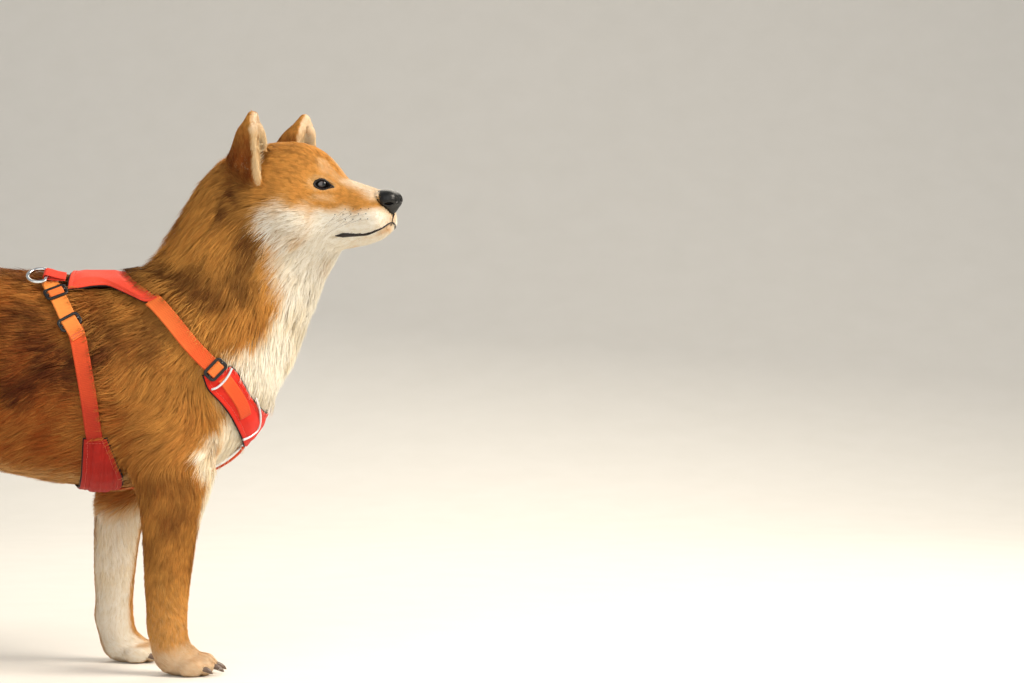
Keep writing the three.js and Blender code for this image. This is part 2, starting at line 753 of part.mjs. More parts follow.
function tailCore() {
  const rings = [];
  for (let i = 0; i < TAIL.length; i += 3) {
    rings.push(
      Array.from({ length: TAIL_SIDES }, (_, n) =>
        besideTail(i, (2 * Math.PI * n) / TAIL_SIDES, TAIL_CORE).at,
      ),
    );
  }
  const last = TAIL.length - 1;
  return loft(rings, TAIL[0].slice(0, 3), square(TAIL, last, BEAD_STEP).at);
}

const tail = tailCore().add(brush()).subtract(clearOfTrunk);
const tailBlock = (shift) => {
  const { at } = square(TAIL, TAIL_PART);
  const way = along(TAIL, TAIL_PART);
  return blockBelow(add(at, way, shift), way, 2.6 * TAIL[TAIL_PART][3], 200, SIDE);
};
const tailBase = tail.intersect(tailBlock(-GAP / 2));
const tailCurl = tail.subtract(tailBlock(GAP / 2));

// Legs, parted from the trunk by a slope that rises outwards, and from the paws above the toes
const LEG_SIDES = 15;
const ANKLE = 30; // height of the parting above the paw

function slope3(side, { y, z, rise }, shift) {
  const normal = unit([0, -side * rise, 1]);
  return { point: add([0, side * y, z], normal, shift), normal };
}

// How far forward and out each toe lies from the middle of the paw, and its radii
const TOES = [
  [24, 8.3, 17, 9.4, 12.5],
  [15, 16.5, 16, 8.6, 11.5],
];

const stubs = {};
for (const [name, leg] of Object.entries(LEGS)) {
  const planes = [];
  for (let i = 0; i < leg.limb.length; i += 2) planes.push(square(leg.limb, i));
  const whole = stretch((p) => legDistance(p, leg), planes, LEG_SIDES);
  const block = (shift) => {
    const { point, normal } = slope3(leg.side, leg.parting, shift);
    return blockBelow(point, normal, 500, 400, [1, 0, 0]);
  };
  const neckEnd = moved(NECK_ROOT, -GAP / 2);
  const behindNeck = blockBelow(neckEnd.at, cross(neckEnd.u, neckEnd.v), 1200, 900, SIDE);
  const behindLoin = blockBelow([LOIN_X - GAP / 2, 0, 300], [1, 0, 0], 1200, 900, SIDE);
  const kept = leg.paw[0] > 0 ? behindNeck : behindLoin;
  stubs[name] = whole.subtract(block(GAP / 2)).intersect(kept);
  const lower = whole.intersect(block(-GAP / 2)).subtract(clearOfTrunk);
  const low = blockBelow([0, 0, ANKLE], UP, 1200, 200, [1, 0, 0]);
  const lowGap = blockBelow([0, 0, ANKLE + GAP], UP, 1200, 200, [1, 0, 0]);
  const below = blockBelow([0, 0, 0], UP, 1200, 200, [1, 0, 0]);
  leg.solid = lower.subtract(lowGap);
  leg.pawSolid = pawSolid(leg).add(whole).intersect(low).subtract(below);
}

// A paw: four toes with claws and the pads behind them, flat underneath
function pawSolid(leg) {
  const [x, y] = leg.paw;
  const parts = [ball([x + 2, y, 15.5], [24, 19.5, 17.5], 8, 5)];
  for (const side of [-1, 1]) {
    for (const [forward, out, long, wide, high] of TOES) {
      const toe = [x + forward, y + side * out, high - 1.5];
      parts.push(ball(toe, [long, wide, high], 6, 4));
      const claw = new THREE.ConeGeometry(2.8, 13, 3);
      const way = unit([1, side * 0.12, -0.42]);
      const across = unit(cross(way, UP));
      const root = add(toe, [long + 1.5, side * 1.2, -3.6]);
      parts.push(placed(claw, frameAt(root, across, way, cross(across, way))));
    }
  }
  return union(parts);
}

// Harness. Each piece lies on the coat, between two distances from it.
const UNDER = [0.8, 3]; // padded panels
const STRAP = [0.8, 2.4]; // webbing on the coat
const OVER = [3.6, 5.2]; // webbing on a panel

// The nearest place at a given distance from the coat
function onCoat(p, level) {
  let at = p;
  for (let i = 0; i < 8; i++) {
    const away = slope(bodyDistance, at);
    at = add(at, away, (level - bodyDistance(at)) / dot(away, away));
  }
  return at;
}

function pathOf(points) {
  return new THREE.CatmullRomCurve3(points.map((p) => new THREE.Vector3(...p)), false, "centripetal");
}

// A panel between two edges, given from corner to corner
function panel(edgeA, edgeB, [low, high], along, across) {
  const [a, b] = [pathOf(edgeA).getSpacedPoints(along), pathOf(edgeB).getSpacedPoints(along)];
  const grid = (level) =>
    a.map((p, i) =>
      Array.from({ length: across + 1 }, (_, j) =>
        onCoat(mix3(p.toArray(), b[i].toArray(), j / across), level),
      ),
    );
  return wall(grid(high), grid(low));
}

// A strap along a path on the coat
function strap(path, width, [low, high], steps) {
  const curve = pathOf(path.map((p) => onCoat(p, low)));
  const grid = (level) =>
    Array.from({ length: steps + 1 }, (_, i) => {
      const p = curve.getPointAt(i / steps).toArray();
      const way = curve.getTangentAt(i / steps).toArray();
      const beside = unit(cross(unit(slope(bodyDistance, p)), way));
      return [-0.5, 0.5].map((part) => onCoat(add(p, beside, part * width), level));
    });
  return wall(grid(high), grid(low));
}

const mirrored = (points) => points.map(([x, y, z]) => [x, -y, z]);

// The yoke over the withers: narrow behind, with a lobe running down each shoulder in front
const YOKE_TURN = [27, 25.5, 23, 22.3, 27, 32, 37, 36.5]; // its reach down each side, in degrees
const YOKE_EDGE = [76, 87, 99, 113, 127, 140, 154, 168]; // and where along the dog its edge lies
const YOKE_SPINE = [74, 127]; // its ends over the spine
const YOKE_ACROSS = 10;

function yokeRow(i, level) {
  const middle = mix(...YOKE_SPINE, i / (YOKE_TURN.length - 1));
  return Array.from({ length: YOKE_ACROSS + 1 }, (_, j) => {
    const side = (2 * j) / YOKE_ACROSS - 1;
    const x = mix(middle, YOKE_EDGE[i], Math.abs(side) ** 1.9);
    const turn = radians(side * YOKE_TURN[i]);
    const way = [0, Math.sin(turn), Math.cos(turn)];
    return add([x, 0, 290], way, reach(bodyDistance, [x, 0, 290], way, level, 6));
  });
}

const yokeRows = (level) => YOKE_TURN.map((_, i) => yokeRow(i, level));
const yoke = wall(yokeRows(UNDER[1]), yokeRows(UNDER[0]));

// The breast panel: a V from slider to slider, over the breastbone
const BREAST_LOW = [
  [213, -72, 293],
  [218, -70, 280],
  [229, -63, 267],
  [238, -54, 254],
  [244, -33, 236],
  [245, 0, 222],
];
const BREAST_HIGH = [
  [238, -64, 302],
  [244, -61, 296],
  [250, -56, 285],
  [257, -45, 271],
  [260, -26, 262],
  [262, 0, 257],
];
const bothSides = (points) => [...points, ...mirrored(points.slice(0, -1)).reverse()];
const breastPanel = panel(bothSides(BREAST_LOW), bothSides(BREAST_HIGH), UNDER, 20, 2);

// The belly panel, under the chest behind the elbows
const BELLY_REAR = [
  [96, -70, 231],
  [93, -58, 211],
  [88, -38, 190],
  [78, 0, 178],
  [64, 38, 190],
  [62, 58, 211],
  [66, 70, 231],
];
const BELLY_FRONT = [
  [118, -70, 231],
  [124, -59, 211],
  [128, -36, 189],
  [116, 0, 178],
  [84, 38, 190],
  [83, 58, 211],
  [85, 70, 231],
];
const bellyPanel = panel(BELLY_REAR, BELLY_FRONT, UNDER, 18, 2);

// Where the webbing runs: under the breast, and on the right down the shoulder and the flank
const STERNUM = [
  [241, 0, 216],
  [232, 0, 204],
  [214, 0, 190],
  [190, 0, 182],
  [160, 0, 178],
  [126, 0, 177],
];
const SHOULDER = [
  [166.5, -60, 362],
  [180, -68, 348],
  [195, -72.6, 330],
  [207.5, -72.7, 316],
  [219, -70, 304],
  [231, -66, 291.5],
  [238, -60, 281],
  [246, -50, 266],
];
const FLANK = [
  [60, -44, 381],
  [64, -50, 376],
  [69, -55.3, 369],
  [75.6, -62.7, 358],
  [82, -69, 345.5],
  [89.7, -73, 334],
  [96, -79.4, 308.6],
  [101.2, -80.8, 279.6],
  [103.7, -78.4, 260],
  [105.5, -73, 240],
  [106.5, -69, 229],
];

// Half the width and length of a slide, its bars, cut corners and thickness
const SLIDE_WIDE = WEBBING / 2 + 3.6;
const SLIDE_LONG = 7.5;
const SLIDE_BAR = 2.5;
const SLIDE_CORNER = 2;
const SLIDE_THICK = 2.4;

// A slide: a frame with a middle bar that the webbing is threaded through
function slide(path, place, level) {
  const curve = pathOf(path.map((p) => onCoat(p, level)));
  const at = curve.getPointAt(place).toArray();
  const away = unit(slope(bodyDistance, at));
  const along = curve.getTangentAt(place).toArray();
  const way = unit(add(along, away, -dot(along, away)));
  const outline = new THREE.Shape();
  const inner = SLIDE_WIDE - SLIDE_BAR;
  const corners = [];
  for (const [x, y] of [[-1, -1], [1, -1], [1, 1], [-1, 1]]) {
    const atSide = [x * SLIDE_WIDE, y * (SLIDE_LONG - SLIDE_CORNER)];
    const atEnd = [x * (SLIDE_WIDE - SLIDE_CORNER), y * SLIDE_LONG];
    corners.push(...(x === y ? [atSide, atEnd] : [atEnd, atSide]));
  }
  outline.setFromPoints(corners.map(([x, y]) => new THREE.Vector2(x, y)));
  for (const side of [-1, 1]) {
    const [near, far] = [(side * SLIDE_BAR) / 2, side * (SLIDE_LONG - SLIDE_BAR)];
    const hole = [[-inner, near], [inner, near], [inner, far], [-inner, far]];
    outline.holes.push(new THREE.Path(hole.map(([x, y]) => new THREE.Vector2(x, y))));
  }
  const g = new THREE.ExtrudeGeometry(outline, { depth: SLIDE_THICK, bevelEnabled: false });
  return placed(g, frameAt(at, unit(cross(way, away)), way, away));
}

// The flank's webbing comes forward to its path from the yoke, and further back on the left
const SWING_TOP = 345;
const SWING_DEEP = 90;

function harnessSide(name, flip, back) {
  const shoulder = flip(SHOULDER);
  const flank = flip(FLANK).map(([x, y, z]) => [x + back * smooth((SWING_TOP - z) / SWING_DEEP), y, z]);
  node(`shoulder_strap_${name}`, strap(shoulder.slice(0, 5), WEBBING, STRAP, 8), orangeWebbing);
  node(`chest_strap_${name}`, strap(shoulder.slice(5), WEBBING - 3, OVER, 4), orangeWebbing);
  node(`chest_slider_${name}`, slide(shoulder, 0.66, 4.4), blackPlastic);
  node(`side_strap_upper_${name}`, strap(flank.slice(0, 5), WEBBING, STRAP, 5), orangeWebbing);
  node(`top_buckle_${name}`, slide(flank, 0.07, 3.6), blackPlastic);
  node(`side_strap_${name}`, strap(flank.slice(5, 10), WEBBING, STRAP, 9), orangeWebbing);
  node(`side_slider_${name}`, slide(flank, 0.29, 4), blackPlastic);
}

const sternumStrap = strap(STERNUM, WEBBING, STRAP, 10);

// The lead ring, a bent wire D that lies on the near side of the back, and the doubled
// webbing that holds its straight side to the yoke
const RING_AT = [47.5, -42, 391.3];
const RING_RADIUS = 11.5;
const RING_WIRE = 1.6;
const ringAway = unit(slope(bodyDistance, RING_AT));
const ringDown = unit(cross([1, 0, 0], ringAway));
const ringPoint = (forward, down, away) =>
  add(add(add(RING_AT, [1, 0, 0], forward), ringDown, down), ringAway, away);

function closedTube(points, away, radius, sides) {
  const n = points.length;
  const rings = points.map((p, i) => {
    const way = unit(sub(points[(i + 1) % n], points[(i + n - 1) % n]));
    const beside = unit(cross(way, away));
    return Array.from({ length: sides }, (_, j) => {
      const turn = (2 * Math.PI * j) / sides;
      return add(add(p, away, radius * Math.cos(turn)), beside, radius * Math.sin(turn));
    });
  });
  const faces = [];
  for (let i = 0; i < n; i++) {
    for (let j = 0; j < sides; j++) {
      const [a, b] = [i * sides + j, i * sides + ((j + 1) % sides)];
      const [c, d] = [((i + 1) % n) * sides + j, ((i + 1) % n) * sides + ((j + 1) % sides)];
      faces.push([a, b, d], [a, d, c]);
    }
  }
  return solidOf(rings.flat(), faces);
}

const RING_BEND = 52; // degrees from straight ahead to each end of the straight side
const ringWire = Array.from({ length: 15 }, (_, i) => {
  const turn = radians(mix(RING_BEND, 360 - RING_BEND, i / 14));
  return ringPoint(RING_RADIUS * Math.cos(turn), RING_RADIUS * Math.sin(turn), 0);
});
const leadRing = closedTube(ringWire, ringAway, RING_WIRE, 6);

function ribbon(path, widthWay, width, thick) {
  const rings = path.map((p, i) => {
    const way = unit(sub(path[Math.min(i + 1, path.length - 1)], path[Math.max(i - 1, 0)]));
    const face = unit(cross(way, widthWay));
    const corner = (w, t) => add(add(p, widthWay, (w * width) / 2), face, (t * thick) / 2);
    return [corner(1, 1), corner(-1, 1), corner(-1, -1), corner(1, -1)];
  });
  return loft(rings, path[0], path.at(-1));
}

const RING_BAR = RING_RADIUS * Math.cos(radians(RING_BEND));
const ROUND_BAR = RING_WIRE + 0.5 + 0.6; // from the bar's middle to the webbing's
const linkPath = [[25.5, -2.6], [17, -0.6], [11, 1.7]];
for (const degrees of [75, 110, 145, 180, 215, 250, 285]) {
  const turn = radians(degrees);
  linkPath.push([RING_BAR + ROUND_BAR * Math.cos(turn), ROUND_BAR * Math.sin(turn)]);
}
linkPath.push([12, -3.2], [25.5, -4.2]);
const ringLink = ribbon(linkPath.map(([a, n]) => ringPoint(a, -3, n)), ringDown, WEBBING - 4, 1.1);

node("head", head, coatRed);
for (const side of ["right", "left"]) {
  node(`eye_${side}`, eyes[side], wetBrown);
  node(`ear_${side}`, ears[side], coatRed);
}
node("nose", nose, leatherBlack);
node("neck", neckSolid(), coatRed);
node("chest", trunk.chest.add(stubs.fore_right).add(stubs.fore_left), coatRed);
node("loin", trunk.loin, coatRed);
node("rump", trunk.rump.add(stubs.hind_right).add(stubs.hind_left), coatRed);
node("tail_base", tailBase, coatRed);
node("tail_curl", tailCurl, coatRed);
for (const [name, leg] of Object.entries(LEGS)) {
  const [end, side] = name.split("_");
  node(`${end === "fore" ? "foreleg" : "thigh"}_${side}`, leg.solid, coatRed);
  node(`${end}paw_${side}`, leg.pawSolid, coatCream);
}

node("yoke", yoke, redCloth);
node("chest_panel", breastPanel, redCloth);
node("belly_panel", bellyPanel, redCloth);
node("sternum_strap", sternumStrap, orangeWebbing);
node("ring_link", ringLink, redCloth);
node("lead_ring", leadRing, polishedSteel);
harnessSide("right", (points) => points, 0);
harnessSide("left", mirrored, BACK_SHIFT);

// The origin goes to the middle of the floor rectangle
const box = new THREE.Box3().setFromObject(dog);
dog.position.set(-(box.min.x + box.max.x) / 2, -(box.min.y + box.max.y) / 2, 0);

export default dog;
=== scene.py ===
# A shiba inu in a red walking harness, life size, as a still museum model, with its coat,
# eyes, nose, claws and harness finished. Places are in millimetres in the dog's own measures:
# x forward, y to its left, z up from the floor, y = 0 on its midline.
import json
import math

import bpy
import numpy as np
from mathutils import Matrix, Vector
from mathutils.bvhtree import BVHTree
from mathutils.kdtree import KDTree


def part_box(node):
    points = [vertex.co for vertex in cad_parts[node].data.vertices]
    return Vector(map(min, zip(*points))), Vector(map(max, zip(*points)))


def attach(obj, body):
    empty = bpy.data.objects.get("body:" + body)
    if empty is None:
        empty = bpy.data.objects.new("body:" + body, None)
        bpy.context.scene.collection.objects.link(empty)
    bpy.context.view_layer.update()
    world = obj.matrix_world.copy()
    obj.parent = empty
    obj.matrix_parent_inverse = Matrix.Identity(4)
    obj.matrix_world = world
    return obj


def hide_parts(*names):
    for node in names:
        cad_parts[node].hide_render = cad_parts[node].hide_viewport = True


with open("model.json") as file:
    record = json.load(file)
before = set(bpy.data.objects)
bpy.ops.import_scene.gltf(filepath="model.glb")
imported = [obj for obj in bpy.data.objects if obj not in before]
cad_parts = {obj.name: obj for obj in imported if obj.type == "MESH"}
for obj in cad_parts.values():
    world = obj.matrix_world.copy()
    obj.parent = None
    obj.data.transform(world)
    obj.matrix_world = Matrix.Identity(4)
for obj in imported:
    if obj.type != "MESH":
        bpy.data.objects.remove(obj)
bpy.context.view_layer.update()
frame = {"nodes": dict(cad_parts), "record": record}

MM = 0.001
LOIN_FRONT = 33.85  # where the loin ends in the dog's own measures
strap_low, strap_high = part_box("sternum_strap")
OWN_ORIGIN = np.array(
    [LOIN_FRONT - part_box("loin")[1].x / MM, -(strap_low.y + strap_high.y) / 2 / MM, 0]
)


def place(points):
    """Places in the dog's own millimetres, as metres in the frame."""
    return (np.asarray(points, float) - OWN_ORIGIN) * MM


def own(points):
    """The other way round."""
    return np.asarray(points, float) / MM + OWN_ORIGIN


# Camera. The photograph was taken level, from the height of the dog's chest, with the dog at
# the left of the frame and its rump outside it.
LENS = 85
SENSOR = 36
CAMERA_AT = (512, -2418, 326.5)

camera_data = bpy.data.cameras.new("camera")
camera_data.lens = LENS
camera_data.sensor_width = SENSOR
camera = bpy.data.objects.new("camera", camera_data)
camera.location = place(CAMERA_AT)
camera.rotation_euler = (math.pi / 2, 0, 0)
bpy.context.scene.collection.objects.link(camera)
bpy.context.scene.camera = camera
bpy.context.scene.view_settings.view_transform = "Standard"


# Floor and light. A pale plain sweep of studio paper, a large soft lamp ahead of the dog and
# above, where the photograph's sky lights its face, and a weak one beside the camera.
def linear(colour):
    """An sRGB hex colour as the linear colour that a shader takes."""
    parts = [int(colour[i : i + 2], 16) / 255 for i in (1, 3, 5)]
    return tuple(c / 12.92 if c <= 0.04045 else ((c + 0.055) / 1.055) ** 2.4 for c in parts) + (1,)


def put(tree, socket, value):
    """Into a socket: another socket, a node's first output, a hex colour, or a plain value."""
    if isinstance(value, bpy.types.Node):
        value = next(s for s in value.outputs if s.enabled)
    if isinstance(value, bpy.types.NodeSocket):
        tree.links.new(value, socket)
    elif isinstance(value, str) and value.startswith("#"):
        socket.default_value = linear(value)
    else:
        socket.default_value = value


def add(tree, kind, settings=None, *values, **named):
    """One node with its settings, and what goes into its sockets, in their order or by name."""
    node = tree.nodes.new(kind)
    for key, value in (settings or {}).items():
        setattr(node, key, value)
    sockets = [s for s in node.inputs if s.enabled]
    for socket, value in zip(sockets, values):
        put(tree, socket, value)
    for key, value in named.items():
        name = key.replace("_", " ")
        put(tree, next(s for s in sockets if s.name.lower() == name), value)
    return node


def material(name, **constants):
    """A material with its shader's constant sockets set, its node tree, and that shader."""
    made = bpy.data.materials.new(name)
    made.use_nodes = True
    shader = made.node_tree.nodes["Principled BSDF"]
    for key, value in constants.items():
        socket = shader.inputs[key.replace("_", " ").title().replace("Ior", "IOR")]
        put(made.node_tree, socket, value)
    return made, made.node_tree, shader


MIX = {"data_type": "RGBA"}  # a node that mixes two colours


def clouded(name, pattern, size_mm, first, second, detail=2.0, **constants):
    """A material whose colour wanders between two, by a pattern with marks of this size. Its
    tree, its shader and the pattern come back with it."""
    made, tree, shader = material(name, **constants)
    lay = add(tree, "ShaderNodeTexCoord").outputs["Object"]
    texture = add(tree, pattern, None, lay, 1 / (size_mm * MM), detail)
    tone = add(tree, "ShaderNodeMix", MIX, texture, first, second)
    put(tree, shader.inputs["Base Color"], tone)
    return made, tree, shader, texture


def mesh_object(name, points, faces, finish=None, smooth=True):
    """A piece from arrays: points in metres, and faces of equal size."""
    points = np.asarray(points, np.float32).reshape(-1, 3)
    faces = np.asarray(faces, np.int32)
    mesh = bpy.data.meshes.new(name)
    mesh.vertices.add(len(points))
    mesh.vertices.foreach_set("co", points.ravel())
    mesh.loops.add(faces.size)
    mesh.loops.foreach_set("vertex_index", faces.ravel())
    mesh.polygons.add(len(faces))
    mesh.polygons.foreach_set("loop_start", np.arange(len(faces), dtype=np.int32) * faces.shape[1])
    mesh.polygons.foreach_set("use_smooth", np.full(len(faces), smooth))
    mesh.update(calc_edges=True)
    piece = bpy.data.objects.new(name, mesh)
    bpy.context.scene.collection.objects.link(piece)
    if finish:
        mesh.materials.append(finish)
    return piece


PAPER_COLOURS = ("#E4E1DA", "#EAE7E1")
SWEEP = 9.0  # metres
RISE_AT = 1.6  # metres behind the dog, where the paper starts to curve up
RISE = 2.5  # metres, the radius of the curve
# Matt paper: no gleam, and a tone that is barely clouded.
paper, *_ = clouded(
    "studio_paper_matt", "ShaderNodeTexNoise", 71.4, *PAPER_COLOURS, detail=3.0, roughness=0.9
)
profile = [(-SWEEP, 0), (RISE_AT, 0)]
for step in range(1, 25):
    turn = math.pi / 2 * step / 24
    profile.append((RISE_AT + RISE * math.sin(turn), RISE * (1 - math.cos(turn))))
profile.append((RISE_AT + RISE, SWEEP))
strip = [(side * SWEEP, y, z) for y, z in profile for side in (-1, 1)]
floor_faces = [(i, i + 1, i + 3, i + 2) for i in range(0, len(strip) - 2, 2)]
floor = mesh_object("floor", strip, floor_faces, paper)

world = bpy.data.worlds.new("studio")
world.use_nodes = True
world.node_tree.nodes["Background"].inputs["Color"].default_value = linear("#E6E8EA")
world.node_tree.nodes["Background"].inputs["Strength"].default_value = 0.5
bpy.context.scene.world = world


def lamp(name, at, aim, size, power, colour):
    """A square soft lamp, its size in metres, turned to a place."""
    data = bpy.data.lights.new(name, "AREA")
    data.size = size
    data.energy = power
    data.color = linear(colour)[:3]
    light = bpy.data.objects.new(name, data)
    light.location = place(at)
    light.rotation_euler = (Vector(place(aim)) - light.location).to_track_quat("-Z", "Y").to_euler()
    bpy.context.scene.collection.objects.link(light)


lamp("key", (1900, -700, 1900), (150, 0, 330), 1.3, 86, "#FFF3E2")
lamp("fill", (-300, -2300, 1300), (60, 0, 260), 2.4, 27, "#FFFBF5")
lamp("rim", (500, 1800, 1700), (100, 0, 300), 1.6, 26, "#FFF6E6")


# Outer form. All lengths of the body run into one closed surface at the height of the coat's
# tips, smoothed as flesh is, and from it come the skin below and the lie of the harness above.
VOXEL = 1.7  # mm
SEAM = 0.35  # mm that each length is swollen by, to meet its neighbour
BODY_EASE = 150  # rounds of smoothing on the trunk
HEAD_AT = (335, -26, 481)  # midway between the eyes
HEAD_YAW = math.radians(-22.7)
HEAD_ROLL = math.radians(3)
head_turn = np.array(Matrix.Rotation(HEAD_YAW, 3, "Z") @ Matrix.Rotation(HEAD_ROLL, 3, "X"))


def from_head(points):
    """Places in the head's own measures, x out along the muzzle, in the dog's measures."""
    return np.asarray(points, float) @ head_turn.T + HEAD_AT


def to_head(points):
    """The other way round."""
    return (np.asarray(points, float) - HEAD_AT) @ head_turn


def arrays(mesh):
    """A mesh's points and triangles."""
    points = np.empty(len(mesh.vertices) * 3, np.float32)
    mesh.vertices.foreach_get("co", points)
    mesh.calc_loop_triangles()
    triangles = np.empty(len(mesh.loop_triangles) * 3, np.int32)
    mesh.loop_triangles.foreach_get("vertices", triangles)
    return points.reshape(-1, 3).astype(float), triangles.reshape(-1, 3)


def merged(points, triangles):
    """The same surface with coincident points made one."""
    keys = np.round(points / 2e-6).astype(np.int64)
    _, first, back = np.unique(keys, axis=0, return_index=True, return_inverse=True)
    return points[first], back.reshape(-1)[triangles]


def normals_of(points, triangles):
    """Each point's normal, weighted by the area of its faces."""
    a, b, c = (points[triangles[:, k]] for k in range(3))
    faces = np.cross(b - a, c - a)
    total = np.zeros_like(points)
    for k in range(3):
        for axis in range(3):
            total[:, axis] += np.bincount(triangles[:, k], faces[:, axis], len(points))
    return total / np.maximum(np.linalg.norm(total, axis=1, keepdims=True), 1e-20)


def evaluated(piece):
    """A piece's mesh with its modifiers worked in."""
    graph = bpy.context.evaluated_depsgraph_get()
    return bpy.data.meshes.new_from_object(piece.evaluated_get(graph))


def discard(piece):
    """Removes a piece that was only made to work with."""
    mesh = piece.data
    bpy.data.objects.remove(piece)
    bpy.data.meshes.remove(mesh)


def worked_out(piece):
    """A piece's points and triangles with its modifiers worked in. The piece itself goes."""
    mesh = evaluated(piece)
    discard(piece)
    found = arrays(mesh)
    bpy.data.meshes.remove(mesh)
    return found


def remade(piece, voxel):
    """A closed form's points and triangles, with faces of one size in mm all over."""
    remesh = piece.modifiers.new("remesh", "REMESH")
    remesh.mode = "VOXEL"
    remesh.voxel_size = voxel * MM
    return worked_out(piece)


def neighbours(triangles):
    """Each pair of joined points once."""
    sides = np.concatenate([triangles[:, [0, 1]], triangles[:, [1, 2]], triangles[:, [2, 0]]])
    return np.unique(np.sort(sides, axis=1), axis=0)


def eased(values, pairs, share, rounds):
    """Values at points, drawn towards the mean of their neighbours by a share of the way."""
    a, b = pairs.T
    values = np.array(values, float)
    n = len(values)
    columns = values.reshape(n, -1)
    share = np.broadcast_to(np.reshape(share, (-1, 1)), (n, 1))
    degree = np.maximum(np.bincount(a, minlength=n) + np.bincount(b, minlength=n), 1)[:, None]
    for _ in range(rounds):
        sums = [np.bincount(a, c[b], n) + np.bincount(b, c[a], n) for c in columns.T]
        columns += (np.stack(sums, 1) / degree - columns) * share
    return columns.reshape(values.shape)


def unit(v):
    """Each way made one long."""
    v = np.asarray(v, float)
    return v / np.maximum(np.linalg.norm(v, axis=-1, keepdims=True), 1e-12)


def curve_through(stations, steps):
    """A smooth run of values through the stations."""
    stations = np.asarray(stations, float)
    last = len(stations) - 1
    out = []
    for i in range(last):
        a, b, c, d = (stations[min(max(n, 0), last)] for n in (i - 1, i, i + 1, i + 2))
        for t in np.arange(steps) / steps:
            bend = 2 * a - 5 * b + 4 * c - d + t * (3 * (b - c) + d - a)
            out.append(b + 0.5 * t * (c - a + t * bend))
    return np.array(out + [stations[last]])


# Stations of the curled tail: x, y, z and the radius out to the tips of its hair.
TAIL = curve_through(
    [
        (-150, 0, 350, 26),
        (-182, 2, 386, 29),
        (-196, 6, 430, 34),
        (-176, 11, 470, 39),
        (-134, 18, 483, 41),
        (-98, 28, 458, 37),
        (-88, 38, 426, 27),
        (-98, 44, 402, 11),
    ],
    6,
)
TAIL_FORM = 0.93  # how far out the tail's even form lies
tail_way = unit(np.gradient(TAIL[:, :3], axis=0))


def tail_tube(share, sides=28):
    """A closed tube along the tail, at a share of the way out to its tips."""
    u = unit(np.stack([-tail_way[:, 2], 0 * tail_way[:, 0], tail_way[:, 0]], 1))
    v = np.cross(tail_way, u)
    turn = np.arange(sides) * 2 * math.pi / sides
    ring = np.cos(turn)[:, None, None] * u + np.sin(turn)[:, None, None] * v
    points = TAIL[:, :3] + ring * TAIL[:, 3, None] * share  # sides, beads, 3
    n = len(TAIL)
    faces = []
    for i in range(sides):
        k = (i + 1) % sides
        for j in range(n - 1):
            a, b, c, d = i * n + j, k * n + j, k * n + j + 1, i * n + j + 1
            faces += [(a, b, c), (a, c, d)]
        faces += [(sides * n, k * n, i * n), (sides * n + 1, i * n + n - 1, k * n + n - 1)]
    ends = [TAIL[0, :3], TAIL[-1, :3] + tail_way[-1] * 5]
    return place(np.concatenate([points.reshape(-1, 3), ends])), np.array(faces)


def outward(points, faces):
    """The faces of a closed surface, turned to point out."""
    points, faces = np.asarray(points, float), np.asarray(faces)
    a, b, c = (points[faces[:, k]] for k in range(3))
    return faces if (a * np.cross(b, c)).sum() > 0 else faces[:, ::-1]


def globe(rings, sides):
    """A ball of radius 1 about its x axis, and each point's angle from that axis."""
    polar = np.repeat(np.linspace(0, math.pi, rings + 1)[1:-1], sides)
    turn = np.tile(np.arange(sides) * 2 * math.pi / sides, rings - 1)
    grid = np.stack([np.cos(polar), np.sin(polar) * np.cos(turn), np.sin(polar) * np.sin(turn)], 1)
    points = np.concatenate([[[1, 0, 0]], grid, [[-1, 0, 0]]])
    faces = []
    last = len(points) - 1
    for j in range(sides):
        k = (j + 1) % sides
        faces += [(0, 1 + j, 1 + k), (last, last - sides + k, last - sides + j)]
        for i in range(rings - 2):
            a, b = 1 + i * sides + j, 1 + i * sides + k
            faces += [(a, a + sides, b + sides), (a, b + sides, b)]
    return points, outward(points, faces), np.concatenate([[0], polar, [math.pi]])


EAR_END = np.array([-61, 53.5, 65.5])  # head's measures: middle of the dome that ends each ear
EAR_DOME = np.array([9, 9, 6.5])  # its radii
EAR_FULL = 3.0  # mm given back to the ears' upper parts, which easing thins
slot_of = {row["node"]: row["material_slot"] for row in frame["record"]["subparts"]}
body_nodes = sorted(n for n, slot in slot_of.items() if slot in ("coat", "pale_coat"))
filled_nodes = [n for n in body_nodes if not n.startswith("tail")]
filled_nodes += ["eye_left", "eye_right", "nose", "tail"]
lengths = []
owner_of_face = []
count = 0
for index, name in enumerate(filled_nodes):
    if name == "tail":
        points, triangles = tail_tube(TAIL_FORM)
    else:
        points, triangles = merged(*arrays(frame["nodes"][name].data))
    points = points + normals_of(points, triangles) * SEAM * MM
    lengths.append((points, triangles + count))
    owner_of_face += [index] * len(triangles)
    count += len(points)
whole_points = np.concatenate([p for p, _ in lengths])
whole_triangles = np.concatenate([t for _, t in lengths])
rough = mesh_object("rough_form", whole_points, whole_triangles)
whole_tree = BVHTree.FromObject(rough, bpy.context.evaluated_depsgraph_get())
form_points, form_triangles = remade(rough, VOXEL)
pairs = neighbours(form_triangles)
owners = np.array([owner_of_face[whole_tree.find_nearest(p)[2]] for p in form_points.tolist()])


def owned_by(*starts):
    """Which form points lie on nodes whose names start so."""
    wanted = [i for i, n in enumerate(filled_nodes) if n.startswith(starts)]
    return np.isin(owners, wanted)


